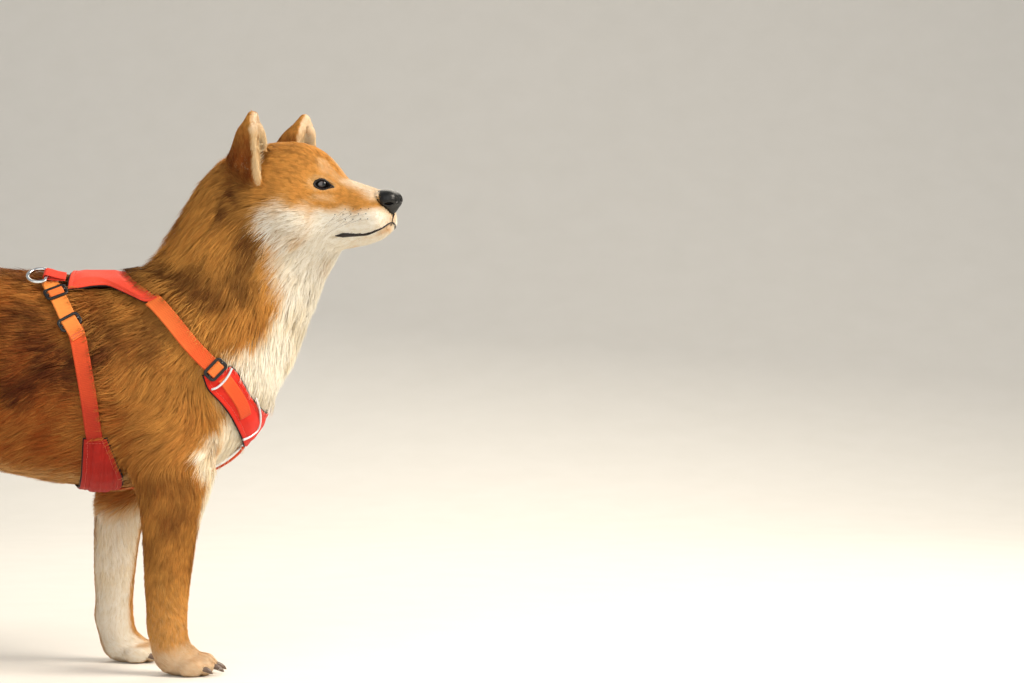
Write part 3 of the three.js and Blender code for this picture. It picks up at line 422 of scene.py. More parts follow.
# Each point's share of every round: little on the face, ears and paws, whose shapes are small.
ease = np.where(owned_by("head", "nose", "eye"), 0.03, 0.5)
ease = np.where(owned_by("ear"), 0.02 + 0.1 * (to_head(own(form_points))[:, 2] > 62), ease)
ease = np.where(owned_by("foreleg", "thigh"), 0.2, ease)
ease = np.where(owned_by("forepaw", "hindpaw"), 0.012, ease)
ease = np.where(owned_by("tail"), 0.25, ease)
ease = eased(ease, pairs, 0.5, 30)
form_points = eased(form_points, pairs, ease, BODY_EASE)
form_normals = normals_of(form_points, form_triangles)


def smoothstep(value, low, high):
    """0 below the low limit, 1 above the high one, and a soft run between."""
    t = np.clip((value - low) / (high - low), 0, 1)
    return t * t * (3 - 2 * t)


# The ears' ends are rounded to domes, and their walls made full again.
ear_at = to_head(own(form_points))
tip_middle = np.tile(EAR_END, (len(ear_at), 1))
tip_middle[:, 1] *= np.sign(ear_at[:, 1])
high = smoothstep(ear_at[:, 2], 36, 60) * owned_by("ear")
ear_at += (form_normals @ head_turn) * (EAR_FULL * high)[:, None]
ear_at[:, 2] -= EAR_FULL * smoothstep(ear_at[:, 2], 45, 68) * owned_by("ear")
off = ear_at - tip_middle
past = np.maximum(np.linalg.norm(off / EAR_DOME, axis=1), 1)
past = np.where(owned_by("ear") & (off[:, 2] > 0), past, 1)
ear_at = tip_middle + off / past[:, None]
form_points = place(from_head(ear_at))
form_normals = normals_of(form_points, form_triangles)
front = np.clip((ear_at[:, 0] + 68) / 12, 0, 1) * (ear_at[:, 2] > -5)
plump = eased(owned_by("ear") * (0.7 + 1.5 * front), pairs, 0.5, 6)
form_points += form_normals * plump[:, None] * MM
form_points[:, 2] = np.maximum(form_points[:, 2], 0)
form_normals = normals_of(form_points, form_triangles)


# Coat, its lie. The hair grows from the skin at the depth given here, lies back along the body
# and down the legs, and stands up in a ruff, a brush of a tail and breeches behind the thighs.
# Each guide: place, the way the hair lies, the coat's depth and the hair's length, all in mm.
BODY_GUIDES = [
    ((205, 0, 495), (-0.75, 0, -0.65), 9, 25),
    ((165, 0, 440), (-0.7, 0, -0.7), 13, 34),
    ((132, 0, 404), (-0.9, 0, -0.4), 12, 32),
    ((60, 0, 395), (-1, 0, -0.05), 9, 28),
    ((-40, 0, 395), (-1, 0, 0), 9, 27),
    ((-130, 0, 383), (-1, 0, -0.1), 9, 27),
    ((-200, 0, 320), (-0.3, 0, -1), 11, 32),
    ((222, -62, 430), (-0.55, 0, -0.83), 13, 34),
    ((240, -66, 370), (-0.4, -0.1, -0.9), 14, 35),
    ((262, -70, 455), (-0.6, -0.2, -0.8), 12, 30),
    ((170, -72, 330), (-0.75, 0, -0.65), 10, 30),
    ((250, -50, 300), (-0.1, -0.2, -1), 11, 29),
    ((270, 0, 320), (0.05, 0, -1), 12, 31),
    ((310, 0, 400), (-0.5, 0, -0.85), 9, 25),
    ((240, 0, 215), (-0.8, 0, -0.6), 8, 22),
    ((90, -80, 290), (-0.95, 0, -0.3), 9, 28),
    ((60, -70, 215), (-0.9, 0, -0.45), 9, 27),
    ((0, 0, 190), (-1, 0, -0.1), 7, 22),
    ((-60, -75, 270), (-0.95, 0, -0.3), 9, 27),
    ((-140, -80, 270), (-0.5, 0, -0.85), 9, 26),
    ((-190, -50, 240), (-0.35, 0.1, -0.9), 12, 33),
]
HEAD_GUIDES = [
    ((45, 0, -8), (-1, 0, 0.15), 1.1, 4),
    ((58, 9, -30), (-1, 0.3, -0.3), 1.3, 4),
    ((45, 18, -22), (-1, 0.2, -0.1), 1.4, 5),
    ((40, 20, -40), (-1, 0.1, -0.35), 1.6, 6),
    ((56, 0, -40), (-0.3, 0, -1), 1.4, 4),
    ((45, 0, -52), (-1, 0, -0.2), 2, 6),
    ((0, 10, -58), (-1, 0, -0.2), 4.5, 13),
    ((8, 0, 8), (-0.8, 0, 0.6), 1.4, 5),
    ((-20, 0, 36), (-1, 0, 0.5), 2.3, 8),
    ((-55, 0, 45), (-1, 0, 0.05), 3.5, 11),
    ((-90, 0, 20), (-0.7, 0, -0.7), 7, 21),
    ((-8, 20, 14), (-0.7, 0.2, 0.7), 1.6, 5),
    ((12, 18, -6), (-1, 0.3, 0.2), 1.2, 4),
    ((0, 28, -14), (-1, 0.35, -0.1), 1.6, 5),
    ((-15, 40, -22), (-1, 0.3, -0.3), 2.8, 10),
    ((-40, 60, -30), (-1, 0.25, -0.5), 6.5, 19),
    ((-70, 58, -25), (-0.9, 0.1, -0.6), 10, 27),
    ((-35, 45, -58), (-0.85, 0.2, -0.6), 7.5, 21),
    ((-45, 48, 10), (-1, 0.2, 0.1), 2.8, 9),
    ((-75, 55, 10), (-0.9, 0.1, -0.3), 5.5, 15),
    ((-20, 0, -72), (-0.8, 0, -0.5), 7, 20),
]
GUIDE_REACH = 30  # mm over which a guide's say falls off
HEAD_REACH = 13
LEG_HEIGHTS = (0, 12, 30, 60, 100, 150, 200, 250)
LEG_DEPTHS = (1.0, 1.4, 1.8, 2.3, 2.8, 4.0, 6.5, 9)
LEG_LENGTHS = (4, 5, 7, 9, 11, 15, 21, 26)
TOE_TURN = (14, 44)  # mm above the floor, where the hair turns from forward to down
EAR_DEPTH = 1.3
EAR_LENGTH = 7
EAR_SKIN = 0.7  # mm under the tips of its hair, less than half the ear's thickness
EAR_ROOT = from_head([(-70, -44, 10), (-70, 44, 10)])
EAR_TIP = from_head([(-56, -56.5, 74), (-56, 56.5, 74)])
TAIL_DEPTH = 0.42  # of its radius
TAIL_LENGTH = 36
EYE_AT = np.array([-3.7, 19, 0])  # head's measures, left eye
EYE_FACES = math.radians(58)
EYE_RADIUS = 10.5
ALMOND = (7.3, 5.4, 4.1)  # half the opening's width, and its heights above and below
CORNER_OUT = 0.4  # how much further the rim reaches at the inner corner


def mirrored(guides):
    """The guides with those off the midline repeated on the other side."""
    rows = []
    for at, way, depth, length in guides:
        rows.append((*at, *way, depth, length))
        if at[1]:
            rows.append((at[0], -at[1], at[2], way[0], -way[1], way[2], depth, length))
    return np.array(rows, float)


def from_guides(places, guides, reach):
    """The lie, depth and length at each place, from the guides round it."""
    at = guides[:, :3]
    far = (places**2).sum(1)[:, None] + (at**2).sum(1)[None] - 2 * places @ at.T
    weight = np.exp(-(far - far.min(1, keepdims=True)) / (2 * reach**2))
    return (weight / weight.sum(1, keepdims=True)) @ guides[:, 3:]


def mixed(a, b, share):
    """From the first towards the second by a share, row by row."""
    share = share[:, None] if np.ndim(a) == 2 and np.ndim(share) == 1 else share
    return a * (1 - share) + b * share


def eye_measures(points):
    """For places in the head's measures: how far out in each eye's opening, 1 at its rim."""
    best = np.full(len(points), 9.0)
    for side in (-1, 1):
        centre = EYE_AT * (1, side, 1)
        out, along, up = eye_axes(side)
        off = points - centre
        across, height = off @ along, off @ up
        tall = np.where(height > 0, ALMOND[1], ALMOND[2])
        measure = np.hypot(across / ALMOND[0], height / tall)
        drawn = np.maximum(across / ALMOND[0] / np.maximum(measure, 0.1), 0) ** 8
        measure /= 1 + CORNER_OUT * drawn
        best = np.where(off @ out > 2, np.minimum(best, measure), best)
    return best


def eye_axes(side):
    """An eye's ways out of the head, from its outer corner to the nose, and up."""
    out = np.array([math.cos(EYE_FACES), side * math.sin(EYE_FACES), 0])
    along = unit([side * -math.sin(EYE_FACES), math.cos(EYE_FACES), side * 0.14])
    along = along * -side  # from the outer corner towards the nose
    up = np.cross(along, out) * side
    return out, along, up * np.sign(up[2])


def ear_hollow(in_head, normals):
    """1 where a place on an ear faces into its cup, for places in the head's measures."""
    height = in_head[:, 2]
    side = np.sign(in_head[:, 1])
    middle = np.stack([-70 + 0.16 * height, side * (45 + 0.16 * height)], 1)
    return smoothstep(-(unit(in_head[:, :2] - middle) * normals[:, :2]).sum(1), -0.1, 0.3)


def groomed(points, normals, legs, ears, tail, head):
    """The lie of the hair, the depth of the coat and the length of the hair, in own mm."""
    in_head = to_head(points)
    body = from_guides(points, mirrored(BODY_GUIDES), GUIDE_REACH)
    face = from_guides(in_head, mirrored(HEAD_GUIDES), HEAD_REACH)
    face[:, :3] = face[:, :3] @ head_turn.T
    groom = mixed(body, face, head)
    low = points[:, 2]
    forward, straight_down = np.array([[1.0, 0, -0.3, 0, 0]]), np.array([[-0.06, 0, -1.0, 0, 0]])
    down = mixed(forward, straight_down, smoothstep(low, *TOE_TURN))
    down[:, 3] = np.interp(low, LEG_HEIGHTS, LEG_DEPTHS)
    down[:, 4] = np.interp(low, LEG_HEIGHTS, LEG_LENGTHS)
    groom = mixed(groom, down, legs)
    side = (in_head[:, 1] > 0).astype(int)
    ear = np.zeros_like(groom)
    ear[:, :3] = unit(EAR_TIP - EAR_ROOT)[side]
    hollow = ear_hollow(in_head, normals @ head_turn) * smoothstep(-in_head[:, 2], -62, -40)
    ear[:, :3] += hollow[:, None] * head_turn[:, 0] * 1.2
    ear[:, 3] = EAR_DEPTH + 2.4 * hollow
    ear[:, 4] = (EAR_LENGTH + 6 * hollow) * (1 - 0.6 * smoothstep(in_head[:, 2], 44, 60))
    groom = mixed(groom, ear, ears)
    bead = np.argmin(((points[:, None] - TAIL[None, ::2, :3]) ** 2).sum(2), 1) * 2
    brush = np.zeros_like(groom)
    brush[:, :3] = tail_way[bead] + 0.25 * normals
    brush[:, 3] = TAIL_DEPTH * TAIL[bead, 3]
    brush[:, 4] = TAIL_LENGTH * np.interp(bead, (0, 8, 36, 42), (0.8, 1, 1, 0.8))
    groom = mixed(groom, brush, tail)
    lie = groom[:, :3]
    lie = unit(lie - normals * (lie * normals).sum(1, keepdims=True))
    lids = smoothstep(eye_measures(in_head), 1.05, 2.1)
    depth = groom[:, 3] * mixed(0.25, 1.0, lids)
    return lie, depth, groom[:, 4]


form_own = own(form_points)
limbs = owned_by("foreleg", "forepaw", "thigh", "hindpaw") & (form_own[:, 2] < 210)
is_leg = eased(limbs, pairs, 0.5, 60)
is_ear = eased(owned_by("ear"), pairs, 0.5, 3)
is_tail = eased(owned_by("tail"), pairs, 0.5, 10)
is_head = eased(owned_by("head", "ear", "eye", "nose"), pairs, 0.5, 40)
lie, depth, length = groomed(form_own, form_normals, is_leg, is_ear, is_tail, is_head)
depth = eased(depth, pairs, 0.5, 8)


# Skin, under the coat. One surface for head, trunk, legs, ears and tail, with no seam, which
# stands in for all the lengths of flesh. It shows only where the hair parts.
SKIN_EASE = 12
SKIN_FACES = 190000
EYE_BOWL = 9.4  # mm from the middle of the eyeball, to which the skin behind the lids draws in
EYE_ROOM = (16, 26)  # mm beside and ahead of it, past which no skin is moved
NOSE_IN = 5  # mm that the skin draws back behind the nose's pad
skin_normals = eased(form_normals, pairs, 0.5, 6)
sink = mixed(depth, EAR_SKIN, is_ear)
skin_own = form_own - unit(skin_normals) * sink[:, None]
skin_share = np.where(is_head > 0.5, 0.06, 0.4) * np.where(is_ear > 0.3, 0, 1)
skin_share *= smoothstep(form_own[:, 2], 3, 20)
skin_own = eased(skin_own, pairs, skin_share, SKIN_EASE)
in_head = to_head(skin_own)
for side in (-1, 1):
    out = eye_axes(side)[0]
    off = in_head - EYE_AT * (1, side, 1)
    level = off @ out
    beside = (off**2).sum(1) - level**2
    behind = np.sqrt(np.maximum(EYE_BOWL**2 - beside, 1))
    inside = 1 - smoothstep(eye_measures(to_head(form_own)), 1.02, 1.16)
    inside *= (level > 0) & (beside < EYE_ROOM[0] ** 2) & (level < EYE_ROOM[1])
    in_head -= out * (np.maximum(level - behind, 0) * inside)[:, None]
in_head[:, 0] -= NOSE_IN * smoothstep(eased(owned_by("nose"), pairs, 0.5, 2), 0.4, 0.9)
skin_own = from_head(in_head)
skin_own[:, 2] = np.maximum(skin_own[:, 2], 0)
skin_normals = normals_of(skin_own, form_triangles)


# Markings. A red shiba with pale cheeks, throat, breast, belly, inner legs and underside of the
# tail, and dark red-brown hair tips over the back, shoulders and neck. The darks behind the
# cheeks, at the front of each ear's root and over the ribs are partly painted shade, and the
# belly is kept only faintly pale, partly as painted shade. Skin and hair carry the same ones.
BIB_HEIGHTS = (150, 200, 250, 295, 318, 345, 371, 391, 411, 430)
BIB_EDGE = (205, 214, 226, 240, 246, 266, 293, 295, 290, 286)  # mm, where the pale breast ends
TAIL_MIDDLE = (-140, 25, 435)  # of the curl
HEAD_PALE = [  # head's measures, right and left alike: middle, radii, strength
    ((-26, 46, -34), (34, 30, 24), 1.0),
    ((18, 24, -41), (46, 30, 21), 1.0),
    ((46, 12, -36), (26, 26, 18), 0.95),
    ((-40, 0, -75), (52, 60, 32), 1.0),
    ((4, 15, 19), (18, 13, 13), 0.34),
    ((-2, 29, -14), (20, 14, 8), 0.6),
    ((46, 0, -2), (46, 20, 17), 0.62),
    ((12, 8, 8), (16, 9, 12), 0.3),
    ((30, 0, -52), (50, 20, 15), 0.85),
    ((-2, 16, -58), (50, 32, 22), 1.0),
]
# Those behind the cheek and down the neck, at each ear's root and over the ribs are partly painted
# shade
DARK_PATCHES = [  # own measures: middle, radii, strength
    ((247, -56, 478), (17, 34, 44), 1.0),
    ((262, -62, 428), (19, 28, 28), 1.0),
    ((228, -62, 396), (42, 34, 26), 0.8),
    ((150, -60, 345), (60, 60, 46), 0.5),
    ((60, -78, 320), (85, 60, 50), 1.0),
    ((100, 0, 400), (110, 60, 26), 0.8),
    ((-120, 0, 385), (90, 60, 22), 0.7),
    ((273, -44, 515), (7, 18, 10), 1.0),
    ((292, -36, 516), (20, 20, 9), 0.3),
    ((168, -40, 405), (34, 40, 16), 0.5),
]
LEG_DARK = 0.35
GOLD = [  # own measures, those on the right also on the left: how golden the red is
    ((230, -60, 420), 0.8),
    ((200, -30, 450), 0.95),
    ((150, -70, 340), 0.6),
    ((230, -60, 320), 0.7),
    ((90, 0, 400), 0.45),
    ((60, -80, 290), 0.3),
    ((0, 0, 395), 0.45),
    ((-130, 0, 385), 0.45),
    ((-130, -70, 280), 0.4),
    ((0, 0, 190), 0.4),
    ((-140, 25, 435), 0.6),
]
GOLD_REACH = 45
gold_guides = [(x, y, z, gold) for (x, y, z), gold in GOLD]
gold_guides += [(x, -y, z, gold) for x, y, z, gold in gold_guides if y < 0]


def waves(points, size, seed):
    """A smooth wandering field of about -1 to 1, that turns over in `size` mm."""
    draw = np.random.default_rng(seed)
    total = np.zeros(len(points))
    for _ in range(9):
        way = unit(draw.normal(size=3)) * 2 * math.pi / (size * draw.uniform(1.2, 2.6))
        total += np.sin(points @ way + draw.uniform(0, 6.28))
    return total / 2.5


def blob(points, middle, radii):
    """1 inside an egg shape, falling to 0 around it."""
    out = np.linalg.norm((points - middle) / radii, axis=1)
    return 1 - smoothstep(out, 0.45, 1.35)


def marks_at(points, normals, legs, ears, tail, head):
    """How pale the hair is at each place, and how dark its tips, from 0 to 1."""
    x, y, z = points.T
    # The breast and belly, which end in strays rather than along a line
    stray = 6 * waves(points, 22, 3) + 3 * waves(points, 9, 4)
    edge = np.interp(z, BIB_HEIGHTS, BIB_EDGE)
    wide = np.interp(z, (200, 300), (9, 20))
    trunk = 1 - smoothstep(head, 0.6, 0.95)
    cream = smoothstep(x + stray, edge - wide, edge + wide) * smoothstep(z, 140, 160) * trunk
    # The belly, only faintly pale: partly painted shade under the trunk
    under = smoothstep(-normals[:, 2], 0.5, 0.9) * smoothstep(-z, -265, -235)
    cream = np.maximum(cream, 0.3 * under * (1 - head) * (1 - tail))
    # The insides of the legs, their feet, and the breeches
    inward = -np.sign(y) * normals[:, 1]
    cream = np.maximum(cream, 0.8 * legs * smoothstep(inward, 0.1, 0.7))
    cream = np.maximum(cream, 0.5 * legs * smoothstep(-z - 0.6 * stray, -50, -18))
    cream = np.maximum(cream, 0.22 * legs * smoothstep(-z, -150, -40))
    rear = np.array([x, np.abs(y), z]).T
    cream = np.maximum(cream, 0.55 * blob(rear, (-212, 26, 262), (34, 32, 62)))
    # The outer side of the tail's curl, which is its underside
    outward = (unit(points - TAIL_MIDDLE) * normals).sum(1)
    cream = mixed(cream, smoothstep(outward + 0.1 * waves(points, 14, 9), 0.25, 0.75), tail)
    # The cheeks, muzzle, jaw, brows and the rims of the eyes, and the ears' cups and edges
    at = to_head(points)
    folded = np.stack([at[:, 0], np.abs(at[:, 1]), at[:, 2]], 1)
    folded += np.stack([waves(at, 16, s) for s in (5, 6, 7)], 1) * 2.2
    pale = np.zeros(len(points))
    for middle, radii, strength in HEAD_PALE:
        pale = np.maximum(pale, strength * blob(folded, middle, radii))
    pale = np.maximum(pale, 0.3 * (1 - smoothstep(eye_measures(at), 1.2, 2.8)))
    cream = np.maximum(cream, pale * smoothstep(head, 0.02, 0.3))
    cup = ear_hollow(at, normals @ head_turn)
    front_edge = smoothstep(at[:, 0] + 2 * waves(at, 9, 15), -59, -53) * (at[:, 2] < 60)
    rim = np.maximum(smoothstep(normals @ head_turn[:, 0], 0.05, 0.6), front_edge)
    cream = mixed(cream, np.maximum(0.8 * cup, 0.6 * rim), ears)
    # Dark tips, least where the hair is pale, and partly painted shade where the patches say so
    dark = np.full(len(points), 0.12)
    for middle, radii, strength in DARK_PATCHES:
        near = points * (1, -1, 1) if middle[1] else points
        spot = np.maximum(blob(points, middle, radii), blob(near, middle, radii))
        dark = np.maximum(dark, strength * spot)
    dark = mixed(dark, LEG_DARK * smoothstep(z, 40, 170), legs)
    dark = mixed(dark, 0.5 * (1 - smoothstep(outward, -0.1, 0.4)), tail)
    dark = mixed(dark, 0.95 * (1 - cup) * smoothstep(-at[:, 2], -64, -8), ears)
    dark *= (1 - 0.9 * cream) * mixed(1.0, 0.8, head)
    gold = from_guides(points, np.array(gold_guides), GOLD_REACH)[:, 0]
    gold = mixed(gold, np.interp(z, (0, 200), (0.9, 0.6)), legs)
    gold = mixed(gold, 0.92 - 0.25 * smoothstep(-at[:, 0], 20, 80), head)
    gold = mixed(gold, 0.3 + 0.5 * smoothstep(at[:, 2], 20, 70), ears)
    dark = np.clip(dark * (1 + 0.4 * waves(points * (1, 1, 0.55), 17, 8)), 0, 1)
    return cream, dark, np.clip(gold, 0, 1)


cream, dark, gold = marks_at(form_own, form_normals, is_leg, is_ear, is_tail, is_head)


THROUGH = 0.3  # of the light that a hair takes goes through it
ROOT_SHADE = 0.82  # of its own colour that a hair keeps at its root, where the rest is painted shade
RED_DEEP = "#A84D15"
RED_GOLD = "#E6A853"
RED_ROOT = "#CC9450"
RED_PALE = "#E2B56C"
RED_BROWN = "#501403"
RED_TIP = "#3A0F04"
CREAM_LIGHT = "#FFFCF3"
CREAM_DEEP = "#F0E1BF"
CREAM_ROOT = "#E8DBBF"
# Painted shade: the colour that each hair runs to towards its root, deep in the coat
SHADE = "#3A2012"
HAIR_CLOUDS = [(34, 2.0), (14, 3.0), (9, 3.0), (4.5, 4.0)]  # mm across, and detail
TIMES = {"operation": "MULTIPLY"}
TIMES_PLUS = {"operation": "MULTIPLY_ADD"}


def hair_finish(name):
    """Dog's hair: keratin, matt with a faint sheen, so that light softens over the coat. It is
    red with pale roots, or cream, and runs towards painted shade at its root, for the shade deep
    in the coat. Reads the attributes marks (pale, dark tip, place along the hair, chance) and
    root (where it grows)."""
    made, tree, shader = material(name, roughness=0.66, specular_ior_level=0.14)
    marks = add(tree, "ShaderNodeAttribute", {"attribute_name": "marks"})
    root = add(tree, "ShaderNodeAttribute", {"attribute_name": "root"}).outputs["Vector"]
    pale, tips, along = add(tree, "ShaderNodeSeparateColor", None, marks).outputs
    broad, patch, bar, fleck = (
        add(tree, "ShaderNodeTexNoise", None, root, 1 / (size * MM), detail)
        for size, detail in HAIR_CLOUDS
    )
    broad = add(tree, "ShaderNodeMath", TIMES, broad, 0.5)
    tone = add(tree, "ShaderNodeMath", TIMES_PLUS, marks.outputs["Alpha"], 0.85, broad)
    shares = [  # each runs softly between a value's two limits, from 0 to 1 or as given after
        (tone, 0.3, 1.0),
        (patch, 0.3, 0.7, 0.3, 0.9),
        (fleck, 0.42, 0.66, 0.0, 0.34),
        (along, 0.0, 0.45, 0.65, 0.0),
        (bar, 0.35, 0.7, 0.5, 1.0),
        (along, 0.4, 0.9),
        (pale, 0.0, 0.6),
        (tone, 0.6, 1.0),
        (along, 0.0, 0.5, 1.0, 0.0),
        (pale, 0.15, 0.95),
        # painted shade, less of the hair's own colour towards its root
        (along, 0.0, 0.7, ROOT_SHADE, 1.0),
    ]
    golden, deep, grizzle, rooted, sable, outer, paler, lit, cream_root, creamy, light = (
        add(tree, "ShaderNodeMapRange", {"interpolation_type": "SMOOTHSTEP"}, *share)
        for share in shares
    )
    deep = add(tree, "ShaderNodeMath", TIMES, tips, deep)
    sable = add(tree, "ShaderNodeMath", TIMES, sable, outer)
    sable = add(tree, "ShaderNodeMath", TIMES, sable, tips)
    # pale hair keeps more of its own colour against the painted shade
    light = add(tree, "ShaderNodeMath", {**TIMES_PLUS, "use_clamp": True}, pale, 0.2, light)
    red, cream = RED_DEEP, CREAM_DEEP
    for share, colour in (
        (golden, RED_GOLD),
        (deep, RED_BROWN),
        (grizzle, RED_BROWN),
        (rooted, RED_ROOT),
        (sable, RED_TIP),
        (paler, RED_PALE),
    ):
        red = add(tree, "ShaderNodeMix", MIX, share, red, colour)
    for share, colour in ((lit, CREAM_LIGHT), (grizzle, CREAM_ROOT), (cream_root, CREAM_ROOT)):
        cream = add(tree, "ShaderNodeMix", MIX, share, cream, colour)
    colour = add(tree, "ShaderNodeMix", MIX, creamy, red, cream)
    # painted shade towards the root
    colour = add(tree, "ShaderNodeMix", MIX, light, SHADE, colour)
    put(tree, shader.inputs["Base Color"], colour)
    through = add(tree, "ShaderNodeBsdfTranslucent", None, colour)
    hair = add(tree, "ShaderNodeMixShader", None, THROUGH, shader, through)
    put(tree, tree.nodes["Material Output"].inputs["Surface"], hair)
    return made


hair_coat = hair_finish("guard_hair")


# Coat, its hair. Tufts of guard hair grow from the skin along the lie above, each a flat blade
# that tapers to its tip, drawn together in clumps, shortest on the face and feet. Under the
# harness they are pressed flat or left out, and some at its edges lie over it.
LONG_HAIR = 31  # mm, from where a blade has one more bend
CLUMP = 15  # blades drawn together
BLADE = (0.24, 0.0155)  # mm of width, and more for each mm of length
COVER = 6.0  # mm2 that a blade of hair 13 mm long covers
NOSE_MIDDLE = (60, 0, -18)  # head's measures: the egg in which the nose's pad stays bare
NOSE_RADII = (13.5, 14.5, 13)
LIP_FROM = 30  # head's measures: the point that the mouth's line runs round
LIP_BARE = 1.1  # mm above and below that line
LIP_ROUND = 125  # degrees round the muzzle, at which it ends
RIM_BARE = 1.14  # no hair grows nearer an eye than this, 1 being the rim of its opening
PATCH = 0.003  # across each tuft's own patch of the OFBake map
LAP = 3.0  # mm that hair reaches over a harness edge
LAP_SHARE = 0.14  # of the hair that meets an edge
NAPE_LAP = 9.0  # mm, where the ruff falls over the yoke's front edge
NAPE_SHARE = 0.8
NAPE_FROM = (128, 378)  # x and z past which hair is the nape's
OVER_HARNESS = 5.4  # mm above the coat's tips for hair that lies over it
HARNESS = sorted(n for n in slot_of if n not in filled_nodes and not n.startswith("tail"))
chance = np.random.default_rng(20)

harness_points = []
harness_faces = []
for name in HARNESS:
    points, triangles = arrays(frame["nodes"][name].data)
    harness_faces += (triangles + sum(len(p) for p in harness_points)).tolist()
    harness_points.append(own(points))
harness_tree = BVHTree.FromPolygons(np.concatenate(harness_points).tolist(), harness_faces)
skin_tree = BVHTree.FromPolygons(skin_own.tolist(), form_triangles.tolist())
corner_a, corner_b, corner_c = (skin_own[form_triangles[:, k]] for k in range(3))
face_area = np.linalg.norm(np.cross(corner_b - corner_a, corner_c - corner_a), axis=1) / 2
fields = np.column_stack([skin_normals, lie, depth, length, cream, dark, form_own, gold])
eye_near = eye_measures(to_head(form_own)) + 9 * (((form_own - HEAD_AT) ** 2).sum(1) > 40**2)


def lip_drop(degrees):
    """Height of the mouth's line in the head's measures, by the angle round the muzzle."""
    round_by = np.abs(degrees)
    return -38 - 11.2 * smoothstep(round_by, 0, 56) - np.maximum(0, round_by - 105) / 25


def bare(points):
    """Where no hair grows besides the eyes: the nose, and the line of the mouth."""
    at = to_head(points)
    nose = np.linalg.norm((at - NOSE_MIDDLE) / NOSE_RADII, axis=1) < 1
    degrees = np.degrees(np.arctan2(at[:, 1], at[:, 0] - LIP_FROM))
    lips = np.abs(at[:, 2] - lip_drop(degrees)) < LIP_BARE
    lips &= (np.abs(degrees) < LIP_ROUND) & (at[:, 0] > 0) & (np.abs(at[:, 1]) < 34)
    return nose | lips


def passes_under(points, ways, reach=26.0):
    """Whether the harness lies over each point, out along its way."""
    cast = harness_tree.ray_cast
    return np.array(
        [cast(p, w, reach)[2] is not None for p, w in zip(points.tolist(), ways.tolist())]
    )


def written(piece, name, kind, values):
    """Writes an attribute of a piece's points."""
    layer = piece.data.attributes.new(name, kind, "POINT")
    field = {"FLOAT": "value", "FLOAT_VECTOR": "vector", "FLOAT_COLOR": "color"}[kind]
    layer.data.foreach_set(field, np.asarray(values, np.float32).ravel())


def belongs(piece, slot, *nodes):
    """Gives a piece its body and the solids that it stands in for; its slot is not used."""
    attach(piece, "root")
    if nodes:
        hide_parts(*nodes)


